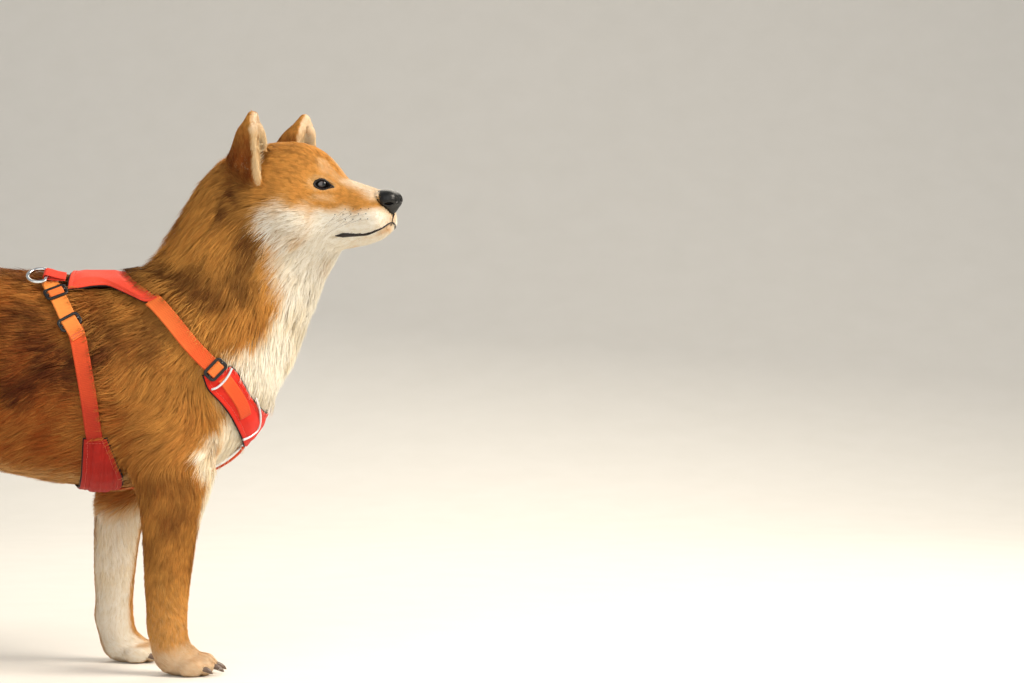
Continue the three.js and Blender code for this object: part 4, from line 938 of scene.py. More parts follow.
def grow(name, where, per_cover, unwrap, harness=False, close=0.32):
    """One piece of the coat: blades on the skin's faces where asked, `per_cover` of them on
    the area that one covers. `close` is how far a clump's tips are drawn together."""
    # Roots, spread evenly over the faces
    faces = np.flatnonzero(where)
    face_length = length[form_triangles[faces]].mean(1)
    width_here = BLADE[0] + BLADE[1] * face_length
    amount = per_cover * face_area[faces] * COVER / (face_length * width_here)
    many = np.floor(amount + chance.random(len(faces))).astype(int)
    chosen = np.repeat(faces, many)
    n = len(chosen)
    a, b = chance.random((2, n))
    flip = a + b > 1
    a[flip], b[flip] = 1 - a[flip], 1 - b[flip]
    share = np.stack([1 - a - b, a, b], 1)
    corners = form_triangles[chosen]
    start = (skin_own[corners] * share[..., None]).sum(1)
    values = (fields[corners] * share[..., None]).sum(1)
    near_eye = (eye_near[corners] * share).sum(1)
    kept = ~bare(values[:, 10:13]) & (near_eye > RIM_BARE)
    start, values = start[kept], values[kept]
    n = len(start)
    normal, way = unit(values[:, :3]), unit(values[:, 3:6])
    deep, long = values[:, 6], values[:, 7] * chance.uniform(0.75, 1.12, n)

    # Clumps, whose blades share a bend, a length and a height
    middles = start[chance.permutation(n)[: max(n // CLUMP, 1)]]
    kd = KDTree(len(middles))
    for i, p in enumerate(middles.tolist()):
        kd.insert(p, i)
    kd.balance()
    clump = np.array([kd.find(p)[1] for p in start.tolist()])
    clumps = len(middles)
    bend = chance.normal(0, 0.1, clumps)[clump] + chance.normal(0, 0.09, n)
    bend += 0.22 * waves(start, 45, 12)
    beside = np.cross(normal, way)
    way = unit(way * np.cos(bend)[:, None] + beside * np.sin(bend)[:, None])
    beside = np.cross(normal, way)
    long = long * chance.uniform(0.86, 1.1, clumps)[clump]
    high = deep * chance.uniform(0.74, 1.02, n) * chance.uniform(0.88, 1.14, clumps)[clump]
    high = np.where(chance.random(n) < 0.03, high * 1.2, high)
    high = np.minimum(high, 0.8 * long)
    run = np.sqrt(long**2 - high**2)

    # The middle line of each blade, over the skin's own curve
    steps = np.array([0, 0.36, 0.7, 1]) if long.mean() > LONG_HAIR else np.array([0, 0.45, 1])
    tip = start + way * run[:, None]
    found = [skin_tree.find_nearest(p) for p in tip.tolist()]
    under = np.array([f[0] for f in found])
    under_way = np.array([f[1] for f in found])
    straight = tip + normal * high[:, None]
    drift = under + under_way * high[:, None] - straight
    drift *= (np.linalg.norm(drift, axis=1) < 0.55 * long)[:, None]
    # At the harness: over its edge, flat beneath it, or left out
    over = flat = np.zeros(n, bool)
    if harness:
        shares = (0, 0.25, 0.5, 0.75, 1)
        covered = []
        for t in shares:
            places = start + way * (run * t)[:, None] + drift * t * t
            covered.append(passes_under(places, normal))
        covered = np.stack(covered, 1)
        meets = covered.any(1)
        first = np.array(shares)[np.argmax(covered, 1)]
        nape = (start[:, 0] > NAPE_FROM[0]) & (start[:, 2] > NAPE_FROM[1])
        meeting = chance.random(n) < np.where(nape, NAPE_SHARE, LAP_SHARE)
        over = meets & ~covered[:, 0] & meeting
        lap = np.where(nape, NAPE_LAP, LAP) * chance.uniform(0.3, 1.3, n)
        shorter = np.minimum((first - 0.12) * run + lap, run) / run
        run = np.where(over, run * shorter, run)
        drift = np.where(over[:, None], drift * shorter[:, None] ** 2, drift)
        flat = meets & ~over
        gone = covered.sum(1) >= 4
    lift = 1 - (1 - steps[None, :]) ** 2
    level = high[:, None] * lift
    level = np.where(flat[:, None], np.minimum(level, (deep * 0.7)[:, None]), level)
    over_level = (deep + OVER_HARNESS)[:, None] * (1 - (1 - steps) ** 3)
    level = np.where(over[:, None], over_level, level)
    line = start[:, None] + way[:, None] * (run[:, None] * steps)[..., None]
    line = line + normal[:, None] * level[..., None] + drift[:, None] * (steps**2)[None, :, None]

    # Tips drawn together in their clump
    reach_of = line[:, -1] - start
    counts = np.maximum(np.bincount(clump, minlength=clumps), 1)[:, None]
    mean_reach = np.stack([np.bincount(clump, reach_of[:, k], clumps) for k in range(3)], 1)
    mean_start = np.stack([np.bincount(clump, start[:, k], clumps) for k in range(3)], 1)
    target = (mean_start / counts)[clump] * 0.62 + start * 0.38 + (mean_reach / counts)[clump]
    pull = (target - line[:, -1]) * close * chance.uniform(0.5, 1.1, n)[:, None]
    pull -= normal * np.minimum((pull * normal).sum(1), 0)[:, None]
    pull *= ~(over | flat)[:, None]
    line = line + pull[:, None] * (steps**1.6)[None, :, None]
    if harness:
        keep = ~gone
        start, normal, beside, line = start[keep], normal[keep], beside[keep], line[keep]
        long, values, clump, n = long[keep], values[keep], clump[keep], int(keep.sum())

    # Blades, each rolled a little about its line, wide in the middle and pointed
    roll = np.clip(chance.normal(0, 0.35, n), -1.1, 1.1)[:, None]
    across = beside * np.cos(roll) + normal * np.sin(roll)
    half = (BLADE[0] + BLADE[1] * long) * chance.uniform(0.75, 1.2, n) / 2
    taper = np.interp(steps, (0, 0.4, 0.75, 1), (0.75, 1, 0.62, 0))
    left = line - across[:, None] * (half[:, None] * taper)[..., None]
    right = line + across[:, None] * (half[:, None] * taper)[..., None]
    rows = len(steps)
    per = 2 * rows - 1
    points = np.empty((n, per, 3))
    points[:, 0:-1:2] = left[:, :-1]
    points[:, 1::2] = right[:, :-1]
    points[:, -1] = line[:, -1]
    points[..., 2] = np.maximum(points[..., 2], 0.15)
    plan = []
    for i in range(rows - 2):
        j = 2 * i
        plan += [(j + 1, j, j + 2), (j + 1, j + 2, j + 3)]
    plan.append((per - 2, per - 3, per - 1))
    faces_out = (np.arange(n)[:, None, None] * per + np.array(plan)).reshape(-1, 3)
    piece = mesh_object(name, place(points.reshape(-1, 3)), faces_out, hair_coat)
    # What the hair's finish reads, the map, and normals near the skin's own for a soft light
    tone = values[:, 13] + 0.1 * (chance.random(clumps)[clump] - 0.5)
    tone += 0.22 * (chance.random(n) - 0.5)
    along = np.append(np.repeat(steps[:-1], 2), 1.0)
    marks = np.empty((n, per, 4), np.float32)
    marks[..., 0] = np.clip(values[:, 8] + chance.normal(0, 0.06, n), 0, 1)[:, None]
    marks[..., 1] = values[:, 9, None]
    marks[..., 2] = along
    marks[..., 3] = tone[:, None]
    written(piece, "marks", "FLOAT_COLOR", marks)
    written(piece, "root", "FLOAT_VECTOR", np.repeat(place(start), per, axis=0))
    spot = unwrap(start)
    spot = 0.004 + 0.992 * (spot - spot.min(0)) / np.maximum(np.ptp(spot, axis=0), 1e-6)
    patch = np.stack([np.tile([-1, 1], rows)[:per], along * 2 - 1], 1) * PATCH / 2
    uv = (spot[:, None] + patch[None]).reshape(-1, 2)[faces_out.ravel()]
    layer = piece.data.uv_layers.new(name="OFBake")
    layer.data.foreach_set("uv", uv.astype(np.float32).ravel())
    way_up = np.cross(line[:, 1] - line[:, 0], across)
    way_up = unit(way_up) * np.sign((way_up * normal).sum(1))[:, None]
    soft = unit(0.88 * normal + 0.12 * way_up)
    piece.data.normals_split_custom_set_from_vertices(np.repeat(soft, per, axis=0))
    belongs(piece, "coat")


def round_axis(at, way, over):
    """An unwrap of the skin by the angle round an axis and the length along it."""
    way = unit(way)
    u = unit(np.cross(way, over))
    v = np.cross(way, u)

    def unwrap(points):
        """The angle and the length, for places in own mm."""
        off = points - at
        return np.stack([np.arctan2(off @ u, -(off @ v)), off @ way], 1)

    return unwrap


def round_legs(points):
    """The same round each leg on one side, the foreleg beside the hind leg."""
    fore, left = points[:, 0] > 0, points[:, 1] > 0
    middle_x = np.where(fore, 175 - 65 * left, -172 + 56 * left)
    off = points[:, :2] - np.stack([middle_x, np.sign(points[:, 1]) * 52], 1)
    return np.stack([np.arctan2(off[:, 1], off[:, 0]) + 7 * fore, points[:, 2]], 1)


def round_tail(points):
    """The same round the tail's curl."""
    bead = np.argmin(((points[:, None] - TAIL[None, :, :3]) ** 2).sum(2), 1)
    off = points - TAIL[bead, :3]
    way = tail_way[bead]
    along = (off * way).sum(1)
    turn = np.arctan2(off[:, 1], off[:, 0] * way[:, 2] - off[:, 2] * way[:, 0])
    return np.stack([turn, bead * 7.0 + along], 1)


def round_ears(points):
    """The same round each ear, the two side by side."""
    at = to_head(points)
    side = at[:, 1] > 0
    across = np.abs(at[:, 1]) - (47 + 0.13 * at[:, 2])
    return np.stack([np.arctan2(across, at[:, 0] + 62) + 7 * side, at[:, 2]], 1)


WITHERS = (132, 406)  # x and z, where the neck starts
NECK_WAY = (0.733, 0.68)
FLANK_FROM = 20  # x, ahead of which the trunk's hair is the flank's, behind it the haunch's
PAW_UNDER = 48  # height
middle = skin_own[form_triangles].mean(1)
in_head_y = to_head(middle)[:, 1]
head_face = is_head[form_triangles].mean(1) > 0.5
ear_face = is_ear[form_triangles].mean(1) > 0.5
tail_face = is_tail[form_triangles].mean(1) > 0.5
leg_face = (is_leg[form_triangles].mean(1) > 0.5) & (np.abs(middle[:, 1]) > 8)
neck_face = ((middle[:, [0, 2]] - WITHERS) @ NECK_WAY > 0) & ~leg_face
kind = np.select(
    [ear_face, tail_face, head_face, leg_face, neck_face],
    ["ear", "tail", "head", "leg", "neck"],
    "trunk",
)
round_head = round_axis(from_head([0, 0, -25]), head_turn[:, 0], head_turn[:, 2])
round_neck = round_axis((229, 0, 378), (66, 0, 121), (0, 0, 1))
round_trunk = round_axis((0, 0, 300), (1, 0, 0), (0, 0, 1))
SIDES = (("right", -1), ("left", 1))
for side, sign in SIDES:
    here = in_head_y * sign > 0
    flank = middle[:, 1] * sign > 0
    fore = middle[:, 0] > FLANK_FROM
    low = middle[:, 2] < PAW_UNDER
    trunk, leg = (kind == "trunk") & flank, (kind == "leg") & flank
    grow(f"coat_head_{side}", (kind == "head") & here, 1.15, round_head, close=0.35)
    grow(f"coat_neck_{side}", (kind == "neck") & flank, 1.9, round_neck, True)
    grow(f"coat_flank_{side}", trunk & fore, 1.6, round_trunk, True)
    grow(f"coat_haunch_{side}", trunk & ~fore, 1.6, round_trunk, True)
    grow(f"coat_legs_{side}", leg & ~low, 1.1, round_legs, True)
    grow(f"coat_paws_{side}", leg & low, 1.0, round_legs, close=0.3)
grow("coat_ears", kind == "ear", 1.0, round_ears, close=0.25)
grow("coat_tail", kind == "tail", 2.0, round_tail)


# Skin, its mesh. Made lighter for its own sake, with the markings of the hair above it, so
# that a parting in the coat shows its undercoat.
SKIN_ALONG = 0.25  # how the hair's colours fall on the skin: mostly those of its roots, darkened by their painted shade
raw_skin = mesh_object("raw_skin", place(skin_own), form_triangles)
lighter = raw_skin.modifiers.new("lighter", "DECIMATE")
lighter.ratio = min(1.0, SKIN_FACES / len(form_triangles))
skin_points, skin_triangles = worked_out(raw_skin)
skin = mesh_object("skin", skin_points, skin_triangles, hair_coat)
nearest = form_triangles[[skin_tree.find_nearest(p)[2] for p in own(skin_points).tolist()], 0]
skin_marks = np.column_stack([cream, dark, np.full(len(cream), SKIN_ALONG), gold])[nearest]
written(skin, "marks", "FLOAT_COLOR", skin_marks)
written(skin, "root", "FLOAT_VECTOR", skin_points)
belongs(skin, "coat", *body_nodes)


# Eyes. Dark brown, wet and nearly filled by the iris, as a shiba's are; the lids below leave
# an almond of each showing.
GAZE = math.radians(44)  # outwards from straight ahead
PUPIL = 0.2  # radians from the gaze
IRIS = 0.56
CORNEA = 0.5  # mm that it bulges before the ball
IRIS_STOPS = [
    (0.0, "#050404"),
    (PUPIL, "#050404"),
    (PUPIL + 0.04, "#1A0D07"),
    (IRIS - 0.1, "#2E180C"),
    (IRIS, "#0B0604"),
    (IRIS + 0.2, "#16100D"),
    (1.0, "#4A3C34"),
]


def colour_stops(ramp, stops):
    """Gives a colour ramp its stops: the place and colour of each."""
    for stop, _ in stops[1:-1]:
        ramp.elements.new(stop)
    for element, (stop, colour) in zip(ramp.elements, stops):
        element.position = stop
        element.color = linear(colour)


# Wet cornea: a clear film that gives one small sharp glint over a deep brown.
wet, wet_tree, wet_shader = material(
    "wet_cornea_over_iris", roughness=0.04, coat_weight=1.0, coat_roughness=0.02
)
angle = add(wet_tree, "ShaderNodeAttribute", {"attribute_name": "angle"}).outputs["Fac"]
iris = add(wet_tree, "ShaderNodeValToRGB", None, angle)
colour_stops(iris.color_ramp, IRIS_STOPS)
put(wet_tree, wet_shader.inputs["Base Color"], iris)
ball_points, ball_faces, ball_angle = globe(40, 56)
for name, side in SIDES:
    gaze = unit([math.cos(GAZE), side * math.sin(GAZE), 0.02])
    beside = unit(np.cross((0, 0, 1), gaze))
    turned = ball_points @ np.stack([gaze, beside, np.cross(gaze, beside)])
    radius = EYE_RADIUS + CORNEA * (np.exp(-((ball_angle / 0.5) ** 2)) - 0.5)
    at = turned * radius[:, None] + EYE_AT * (1, side, 1)
    eye = mesh_object(f"eyeball_{name}", place(from_head(at)), ball_faces, wet)
    written(eye, "angle", "FLOAT", ball_angle)
    belongs(eye, "eye", f"eye_{name}")


# Lids. The dark bare rims of the eyes, moist skin that folds over the ball, with the corner
# towards the nose drawn out.
LID_ROWS = [  # how far out in the opening, then the level: from the ball's middle, or on the face
    (0.72, 9.6, None),
    (0.8, 10.4, None),
    (0.86, 10.9, None),
    (0.92, 0, -0.2),
    (0.98, 0, 0.45),
    (1.05, 0, 0.6),
    (1.13, 0, 0.35),
    (1.3, 0, -1.6),
]
LID_SIDES = 72


def leather(name, colour, light, roughness, grain_mm, depth_mm):
    """Bare dark skin: fine pebbles that break up a faint wet gleam."""
    made, tree, shader, _ = clouded(
        name,
        "ShaderNodeTexNoise",
        6,
        colour,
        light,
        roughness=roughness,
        specular_ior_level=0.4,
    )
    lay = add(tree, "ShaderNodeTexCoord").outputs["Object"]
    cells = add(tree, "ShaderNodeTexVoronoi", None, lay, 1 / (grain_mm * MM))
    bump = add(tree, "ShaderNodeBump", None, 0.8, depth_mm * MM, height=cells)
    put(tree, shader.inputs["Normal"], bump)
    return made


def ring_faces(rings, sides, closed=False):
    """Four-sided faces between rings of points in a row, and back to the first if closed."""
    i, j = np.meshgrid(np.arange(rings - (not closed)), np.arange(sides), indexing="ij")
    k, m = (i + 1) % rings, (j + 1) % sides
    faces = np.stack([i * sides + j, i * sides + m, k * sides + m, k * sides + j], -1)
    return faces.reshape(-1, 4)


def met(tree, starts, ways, reach=160):
    """Where rays first meet a surface, within a reach in mm."""
    starts, ways = np.broadcast_arrays(np.asarray(starts, float), np.asarray(ways, float))
    return np.array([tree.ray_cast(s, w, reach)[0] for s, w in zip(starts.tolist(), ways.tolist())])


form_tree = BVHTree.FromPolygons(form_own.tolist(), form_triangles.tolist())
# Rim skin: nearly black and damp, so that the eye looks drawn round in ink.
rim_skin = leather("bare_rim_skin", "#080505", "#120B09", 0.45, 0.9, 0.1)
for name, side in SIDES:
    out, along_eye, up = eye_axes(side)
    centre = EYE_AT * (1, side, 1)
    turn = np.arange(LID_SIDES) * 2 * math.pi / LID_SIDES
    tall = np.where(np.sin(turn) > 0, ALMOND[1], ALMOND[2])
    pointed = np.sign(np.sin(turn)) * (0.6 * np.sin(turn) ** 2 + 0.4 * np.abs(np.sin(turn)))
    rows = []
    for k, radius, above in LID_ROWS:
        drawn = CORNER_OUT * np.maximum(np.cos(turn), 0) ** 8 * smoothstep(k, 0.8, 1.05)
        across = ALMOND[0] * np.cos(turn) * k * (1 + drawn)
        height = tall * pointed * (1 + (k - 1) * 1.15) - 2.4 * drawn
        plain = centre + along_eye * across[:, None] + up * height[:, None]
        level = np.sqrt(np.maximum(radius**2 - across**2 - height**2, 1))
        if above is not None:
            face = met(form_tree, from_head(plain + out * 30), -head_turn @ out, 40)
            level = (to_head(face) - centre) @ out + above
        rows.append(plain + out * level[:, None])
    points = np.concatenate(rows)
    faces = ring_faces(len(LID_ROWS), LID_SIDES)
    first = points[faces[len(faces) // 2]]
    if np.dot(np.cross(first[1] - first[0], first[2] - first[0]), first[0] - centre) < 0:
        faces = faces[:, ::-1]
    lids = mesh_object(f"lids_{name}", place(from_head(points)), faces, rim_skin)
    belongs(lids, "nose")


# Nose. The cold black pad with its comma nostrils, pebbled and a little wet, from the outline
# that the solid gives it.
NOSE_VOXEL = 0.55
NOSE_EASE = 14
NOSE_FULL = 0.25  # mm given back to what the easing thins
rough = mesh_object("rough_nose", *merged(*arrays(frame["nodes"]["nose"].data)))
nose_points, nose_triangles = remade(rough, NOSE_VOXEL)
nose_points = eased(nose_points, neighbours(nose_triangles), 0.5, NOSE_EASE)
nose_points += normals_of(nose_points, nose_triangles) * NOSE_FULL * MM
# Nose pad: black bare skin in pebbles 1.3 mm wide, each with its own small wet light.
nose_skin = leather("nose_leather", "#030303", "#0A0A0A", 0.4, 1.3, 0.2)
nose = mesh_object("nose_pad", nose_points, nose_triangles, nose_skin)
belongs(nose, "nose", "nose")


# Lips. The dark edges of the mouth, closed, from corner to corner round the muzzle, thickest
# at the corners, with the groove from the nose down to them.
LIP_STEPS = 84
LIP_END = 124  # degrees round the muzzle, at each corner
LIP_ANGLES = (0, 30, 70, 112, LIP_END)
LIP_RADII = (0.85, 1.0, 1.6, 2.3, 0.4)
LIP_SUNK = 0.75  # mm
GROOVE_SUNK = 0.35
GROOVE_STEPS = 14


def tube(name, line, sizes, finish, sides=10):
    """A closed rounded cord along a line in own mm. Its size is one radius, one for each place,
    or half the width and half the height at each."""
    line = np.asarray(line, float)
    ways = unit(np.gradient(line, axis=0))
    u = unit(np.cross(ways, (0, 0, 1)))
    v = np.cross(u, ways)
    turn = np.arange(sides) * 2 * math.pi / sides
    sizes = np.asarray(sizes, float)
    sizes = sizes.reshape(-1, 1, 1) if sizes.ndim < 2 else sizes[:, None]
    rings = line[:, None] + sizes[..., :1] * np.cos(turn)[None, :, None] * u[:, None]
    rings = rings + sizes[..., -1:] * np.sin(turn)[None, :, None] * v[:, None]
    points = np.concatenate([rings.reshape(-1, 3), line[:1], line[-1:]])
    quads = ring_faces(len(line), sides)
    j, k = np.arange(sides), (np.arange(sides) + 1) % sides
    near_end = len(line) * sides + 0 * j
    last = (len(line) - 1) * sides
    caps = [np.stack([near_end, k, j], 1), np.stack([near_end + 1, last + j, last + k], 1)]
    faces = np.concatenate([quads[:, [0, 1, 2]], quads[:, [0, 2, 3]], *caps])
    return mesh_object(name, place(points), outward(points - points.mean(0), faces), finish)


# Lip skin: dark brown, softer and duller than the nose.
lip_skin = leather("lip_skin", "#0E0806", "#20120C", 0.5, 1.1, 0.1)
degrees = np.linspace(-LIP_END, LIP_END, LIP_STEPS)
starts = from_head(np.stack([np.full(LIP_STEPS, LIP_FROM), 0 * degrees, lip_drop(degrees)], 1))
ways = np.stack([np.cos(np.radians(degrees)), np.sin(np.radians(degrees)), 0 * degrees], 1)
ways = ways @ head_turn.T
line = met(form_tree, starts, ways) - ways * LIP_SUNK
line[1:-1] = (line[:-2] + line[1:-1] * 2 + line[2:]) / 4
lips = tube("lips", line, np.interp(np.abs(degrees), LIP_ANGLES, LIP_RADII), lip_skin)
belongs(lips, "nose")
down = np.linspace(0, 1, GROOVE_STEPS)
line = from_head(np.stack([70.0 - 3 * down, 0 * down, -29.5 - 12 * down], 1))
ahead = head_turn[:, 0]
line = met(form_tree, line - ahead * 20, ahead) - ahead * GROOVE_SUNK
groove = tube("lip_groove", line, np.interp(down, (0, 0.5, 1), (1.0, 0.6, 0.4)), lip_skin, 8)
belongs(groove, "nose")


# Whiskers and claws. Both are one shape set many times over: stiff tapered hairs from the rows
# of spots beside the nose, and four blunt horn claws on each paw.
PAWS = [(184, -50), (116, 50), (-172, -52), (-112, 52)]
TOES = [(24, 8.3, 17, 12.5), (15, 16.5, 16, 11.5)]  # ahead of the paw, beside it, length, height
WHISKER_ROWS = [(-24, 56, 4), (-29, 54, 5), (-34, 56, 4)]  # head's height and x, and how many
WHISKER_APART = 7.5
WHISKER_LONG = 34


def repeated(name, shape, places, turns, sizes, finish):
    """Copies of a shape at places in own mm, turned by Euler angles, joined as one mesh."""
    seeds = bpy.data.meshes.new(name + "_places")
    seeds.from_pydata(place(places).tolist(), [], [])
    holder = bpy.data.objects.new(name + "_seeds", seeds)
    written(holder, "turn", "FLOAT_VECTOR", turns)
    written(holder, "size", "FLOAT_VECTOR", sizes)
    bpy.context.scene.collection.objects.link(holder)
    tree = bpy.data.node_groups.new(name, "GeometryNodeTree")
    tree.interface.new_socket("Places", in_out="INPUT", socket_type="NodeSocketGeometry")
    part = tree.interface.new_socket("Shape", in_out="INPUT", socket_type="NodeSocketObject")
    look = tree.interface.new_socket("Finish", in_out="INPUT", socket_type="NodeSocketMaterial")
    tree.interface.new_socket("Copies", in_out="OUTPUT", socket_type="NodeSocketGeometry")
    given = add(tree, "NodeGroupInput").outputs
    read = {"data_type": "FLOAT_VECTOR"}
    copies = add(
        tree,
        "GeometryNodeInstanceOnPoints",
        points=given["Places"],
        instance=add(tree, "GeometryNodeObjectInfo", None, given["Shape"]).outputs["Geometry"],
        rotation=add(tree, "GeometryNodeInputNamedAttribute", read, "turn"),
        scale=add(tree, "GeometryNodeInputNamedAttribute", read, "size"),
    )
    real = add(tree, "GeometryNodeRealizeInstances", None, copies)
    dressed = add(tree, "GeometryNodeSetMaterial", geometry=real, material=given["Finish"])
    add(tree, "NodeGroupOutput", None, dressed)
    modifier = holder.modifiers.new("copies", "NODES")
    modifier.node_group = tree
    modifier[part.identifier] = shape
    modifier[look.identifier] = finish
    mesh = evaluated(holder)
    mesh.name = name
    discard(holder)
    discard(shape)
    piece = bpy.data.objects.new(name, mesh)
    bpy.context.scene.collection.objects.link(piece)
    return piece


def towards(ways, over=(0, 0, 1)):
    """Euler angles that turn a shape's x axis along each way, its z axis towards `over`."""
    angles = []
    for way in unit(ways):
        side = unit(np.cross(over, way))
        basis = Matrix(np.stack([way, side, np.cross(way, side)], 1).tolist())
        angles.append(tuple(basis.to_euler()))
    return angles


def tapered(name, line, sizes, sides):
    """A small shape to repeat, in mm about its own origin."""
    return tube(name, np.asarray(line) + OWN_ORIGIN, sizes, None, sides)


# Horn: worn smooth, cloudy brown, with a dull gleam along its back.
horn, *_ = clouded(
    "claw_horn", "ShaderNodeTexNoise", 3, "#2B1E17", "#7A6250", roughness=0.36, coat_weight=0.2
)
bow = np.linspace(0, 1, 9)
claw_line = np.stack([-6 + 13.5 * bow, 0 * bow, 1.6 * bow - 4.4 * bow**2], 1)
claw_sizes = (1 - bow[:, None] ** 2.2) ** 0.6 * (2.3, 2.7) + 0.25
claw = tapered("claw", claw_line, claw_sizes, 12)
spots, ways = [], []
for x, y in PAWS:
    for side in (-1, 1):
        for ahead, beside, long, high in TOES:
            spots.append((x + ahead + long - 0.5, y + side * (beside + 0.6), high - 3.9))
            ways.append((1, side * 0.12, -0.22))
claws = repeated("claws", claw, spots, towards(ways), np.ones((len(spots), 3)), horn)
belongs(claws, "nose")

# Whisker: stiff smooth keratin, a brown line with a thin gleam.
whisker_hair, *_ = material("whisker_hair", roughness=0.45, base_color="#6B574A")
bow = np.linspace(0, 1, 12)
whisker_line = np.stack([bow * WHISKER_LONG, 0 * bow, 3.5 * bow**2], 1)
whisker = tapered("whisker", whisker_line, 0.1 * (1 - bow) + 0.03, 5)
spots, ways, sizes, outs = [], [], [], []
for side in (-1, 1):
    outs_here = head_turn @ unit([0.05, side, 0])
    for height, x, many in WHISKER_ROWS:
        for i in range(many):
            start = from_head([x - 8 - WHISKER_APART * i, 0, height])
            spots.append(met(form_tree, [start], outs_here, 60)[0] - outs_here * 1.5)
            ways.append(head_turn @ unit([-0.85 + 0.1 * i, side * 0.75, -0.25 - 0.15 * i]))
            sizes.append([chance.uniform(0.6, 1.0)] * 3)
            outs.append(outs_here)
whiskers = repeated("whiskers", whisker, spots, towards(ways), sizes, whisker_hair)
belongs(whiskers, "nose")
dot_points, dot_faces, _ = globe(5, 8)
dot = mesh_object("dot", dot_points * (0.4 * MM, 0.55 * MM, 0.55 * MM), dot_faces)
dots = np.array(spots) + np.array(outs) * 2.6
dots = repeated("whisker_dots", dot, dots, towards(outs), np.ones((len(dots), 3)), lip_skin)
belongs(dots, "nose")


# Harness, its cloth, webbing and fittings. Flat polyester woven in plain weave, sewn over a
# foam; nylon webbing; moulded black acetal; steel; and a grey reflective piping.
FOCAL = 2418  # the lens, in pixels of the photograph
PHOTO_MIDDLE = (512, 341.5)  # its pixels
harness_normals = unit(eased(form_normals, pairs, 0.5, 30))


def woven(name, colours, pitches, depth_mm, roughness, sheen):
    """Cloth whose threads cross along its own UV map, which is in mm. Its colour runs through
    three by the attribute tone, has painted shade between the threads, and is paler where it
    has rubbed."""
    made, tree, shader = material(
        name, roughness=roughness, sheen_weight=sheen, specular_ior_level=0.25
    )
    lay = add(tree, "ShaderNodeUVMap", {"uv_map": "weave"})
    threads = []
    for across, pitch in zip(add(tree, "ShaderNodeSeparateXYZ", None, lay).outputs, pitches):
        angle = add(tree, "ShaderNodeMath", TIMES, across, 2 * math.pi / pitch)
        threads.append(add(tree, "ShaderNodeMath", {"operation": "SINE"}, angle))
    cross = add(tree, "ShaderNodeMath", TIMES, *threads)
    cross = add(tree, "ShaderNodeMath", TIMES_PLUS, cross, 0.5, 0.5)
    at = add(tree, "ShaderNodeTexCoord").outputs["Object"]
    rubbed = add(tree, "ShaderNodeTexNoise", None, at, 1 / (22.2 * MM), 4.0)
    fuzz = add(tree, "ShaderNodeTexNoise", None, at, 1 / (1.11 * MM), 2.0)
    # tone: the cloth's and webbing's own, and darker the lower a piece hangs, partly painted shade
    tone = add(tree, "ShaderNodeAttribute", {"attribute_name": "tone"}).outputs["Fac"]
    tone = add(tree, "ShaderNodeMath", {"operation": "SUBTRACT"}, tone, 0.12)
    tone = add(tree, "ShaderNodeMath", TIMES_PLUS, rubbed, 0.24, tone)
    ramp = add(tree, "ShaderNodeValToRGB", None, tone)
    colour_stops(ramp.color_ramp, list(zip((0.0, 0.5, 1.0), colours)))
    grey = add(tree, "ShaderNodeMath", TIMES_PLUS, fuzz, 0.2, 0.66)
    # painted shade between the threads
    grey = add(tree, "ShaderNodeMath", TIMES_PLUS, cross, 0.28, grey)
    shade = add(tree, "ShaderNodeMix", {**MIX, "blend_type": "MULTIPLY"}, 1.0, ramp, grey)
    put(tree, shader.inputs["Base Color"], shade)
    bump = add(tree, "ShaderNodeBump", None, 1.0, depth_mm * MM, height=cross)
    put(tree, shader.inputs["Normal"], bump)
    return made


# Threads of the cloth are about 0.4 mm apart and the webbing's ribs 0.8: both are drawn
# coarser, because the camera stands too far off to part them.
# Oxford cloth: flat, matt and red, paler where it runs over an edge.
# Its tone is set piece by piece, deepest on the belly pad underneath: partly painted shade
CLOTH_REDS = ("#F0553A", "#D92615", "#8F1206")
cloth = woven("polyester_oxford_cloth", CLOTH_REDS, (1.5, 1.5), 0.1, 0.7, 0.04)
# Spacer mesh: black and open, so that it shows as a dark line along each rim.
LINING_BLACKS = ("#1A1718", "#121011", "#0B0A0A")
lining = woven("black_spacer_mesh", LINING_BLACKS, (2.2, 2.2), 0.3, 0.8, 0.05)
# Nylon webbing: smoother than the cloth, with ribs across it and a faint gleam on them.
# Its deep red is partly painted shade, for webbing low under the body
WEBBING_REDS = ("#F59442", "#DC5220", "#A01A0C")
band_cloth = woven("nylon_webbing_woven", WEBBING_REDS, (1.7, 4.0), 0.16, 0.6, 0.03)
# Moulded acetal: an even dull gleam over the fine grain of the mould.
acetal, acetal_tree, acetal_shader, mould_grain = clouded(
    "moulded_black_acetal",
    "ShaderNodeTexNoise",
    0.385,
    "#08080A",
    "#131315",
    detail=3.0,
    roughness=0.36,
)
bump = add(acetal_tree, "ShaderNodeBump", distance=0.04 * MM, height=mould_grain)
put(acetal_tree, acetal_shader.inputs["Normal"], bump)
# Nickel-plated steel: bright, and mirrors the lamps unevenly where it has been handled.
steel, steel_tree, steel_shader = material(
    "polished_nickel_plated_steel", metallic=1.0, base_color="#DFE3E6"
)
lay = add(steel_tree, "ShaderNodeTexCoord").outputs["Object"]
smudges = add(steel_tree, "ShaderNodeTexNoise", None, lay, 1 / (2.38 * MM), 5.0)
dulled = add(steel_tree, "ShaderNodeMapRange", None, smudges, to_min=0.1, to_max=0.3)
put(steel_tree, steel_shader.inputs["Roughness"], dulled)
# Reflective piping: glass beads on grey tape, a pale even glimmer.
piping, *_ = clouded(
    "grey_reflective_piping",
    "ShaderNodeTexVoronoi",
    0.909,
    "#E6E6EA",
    "#B9BBC2",
    detail=0.0,
    roughness=0.32,
    metallic=0.35,
    sheen_weight=0.3,
)
# Twisted polyester thread: a soft sheen, a little duller than the cloth's red.
thread, *_ = material(
    "sewing_thread_twisted", roughness=0.6, sheen_weight=0.3, base_color="#CF4A34"
)


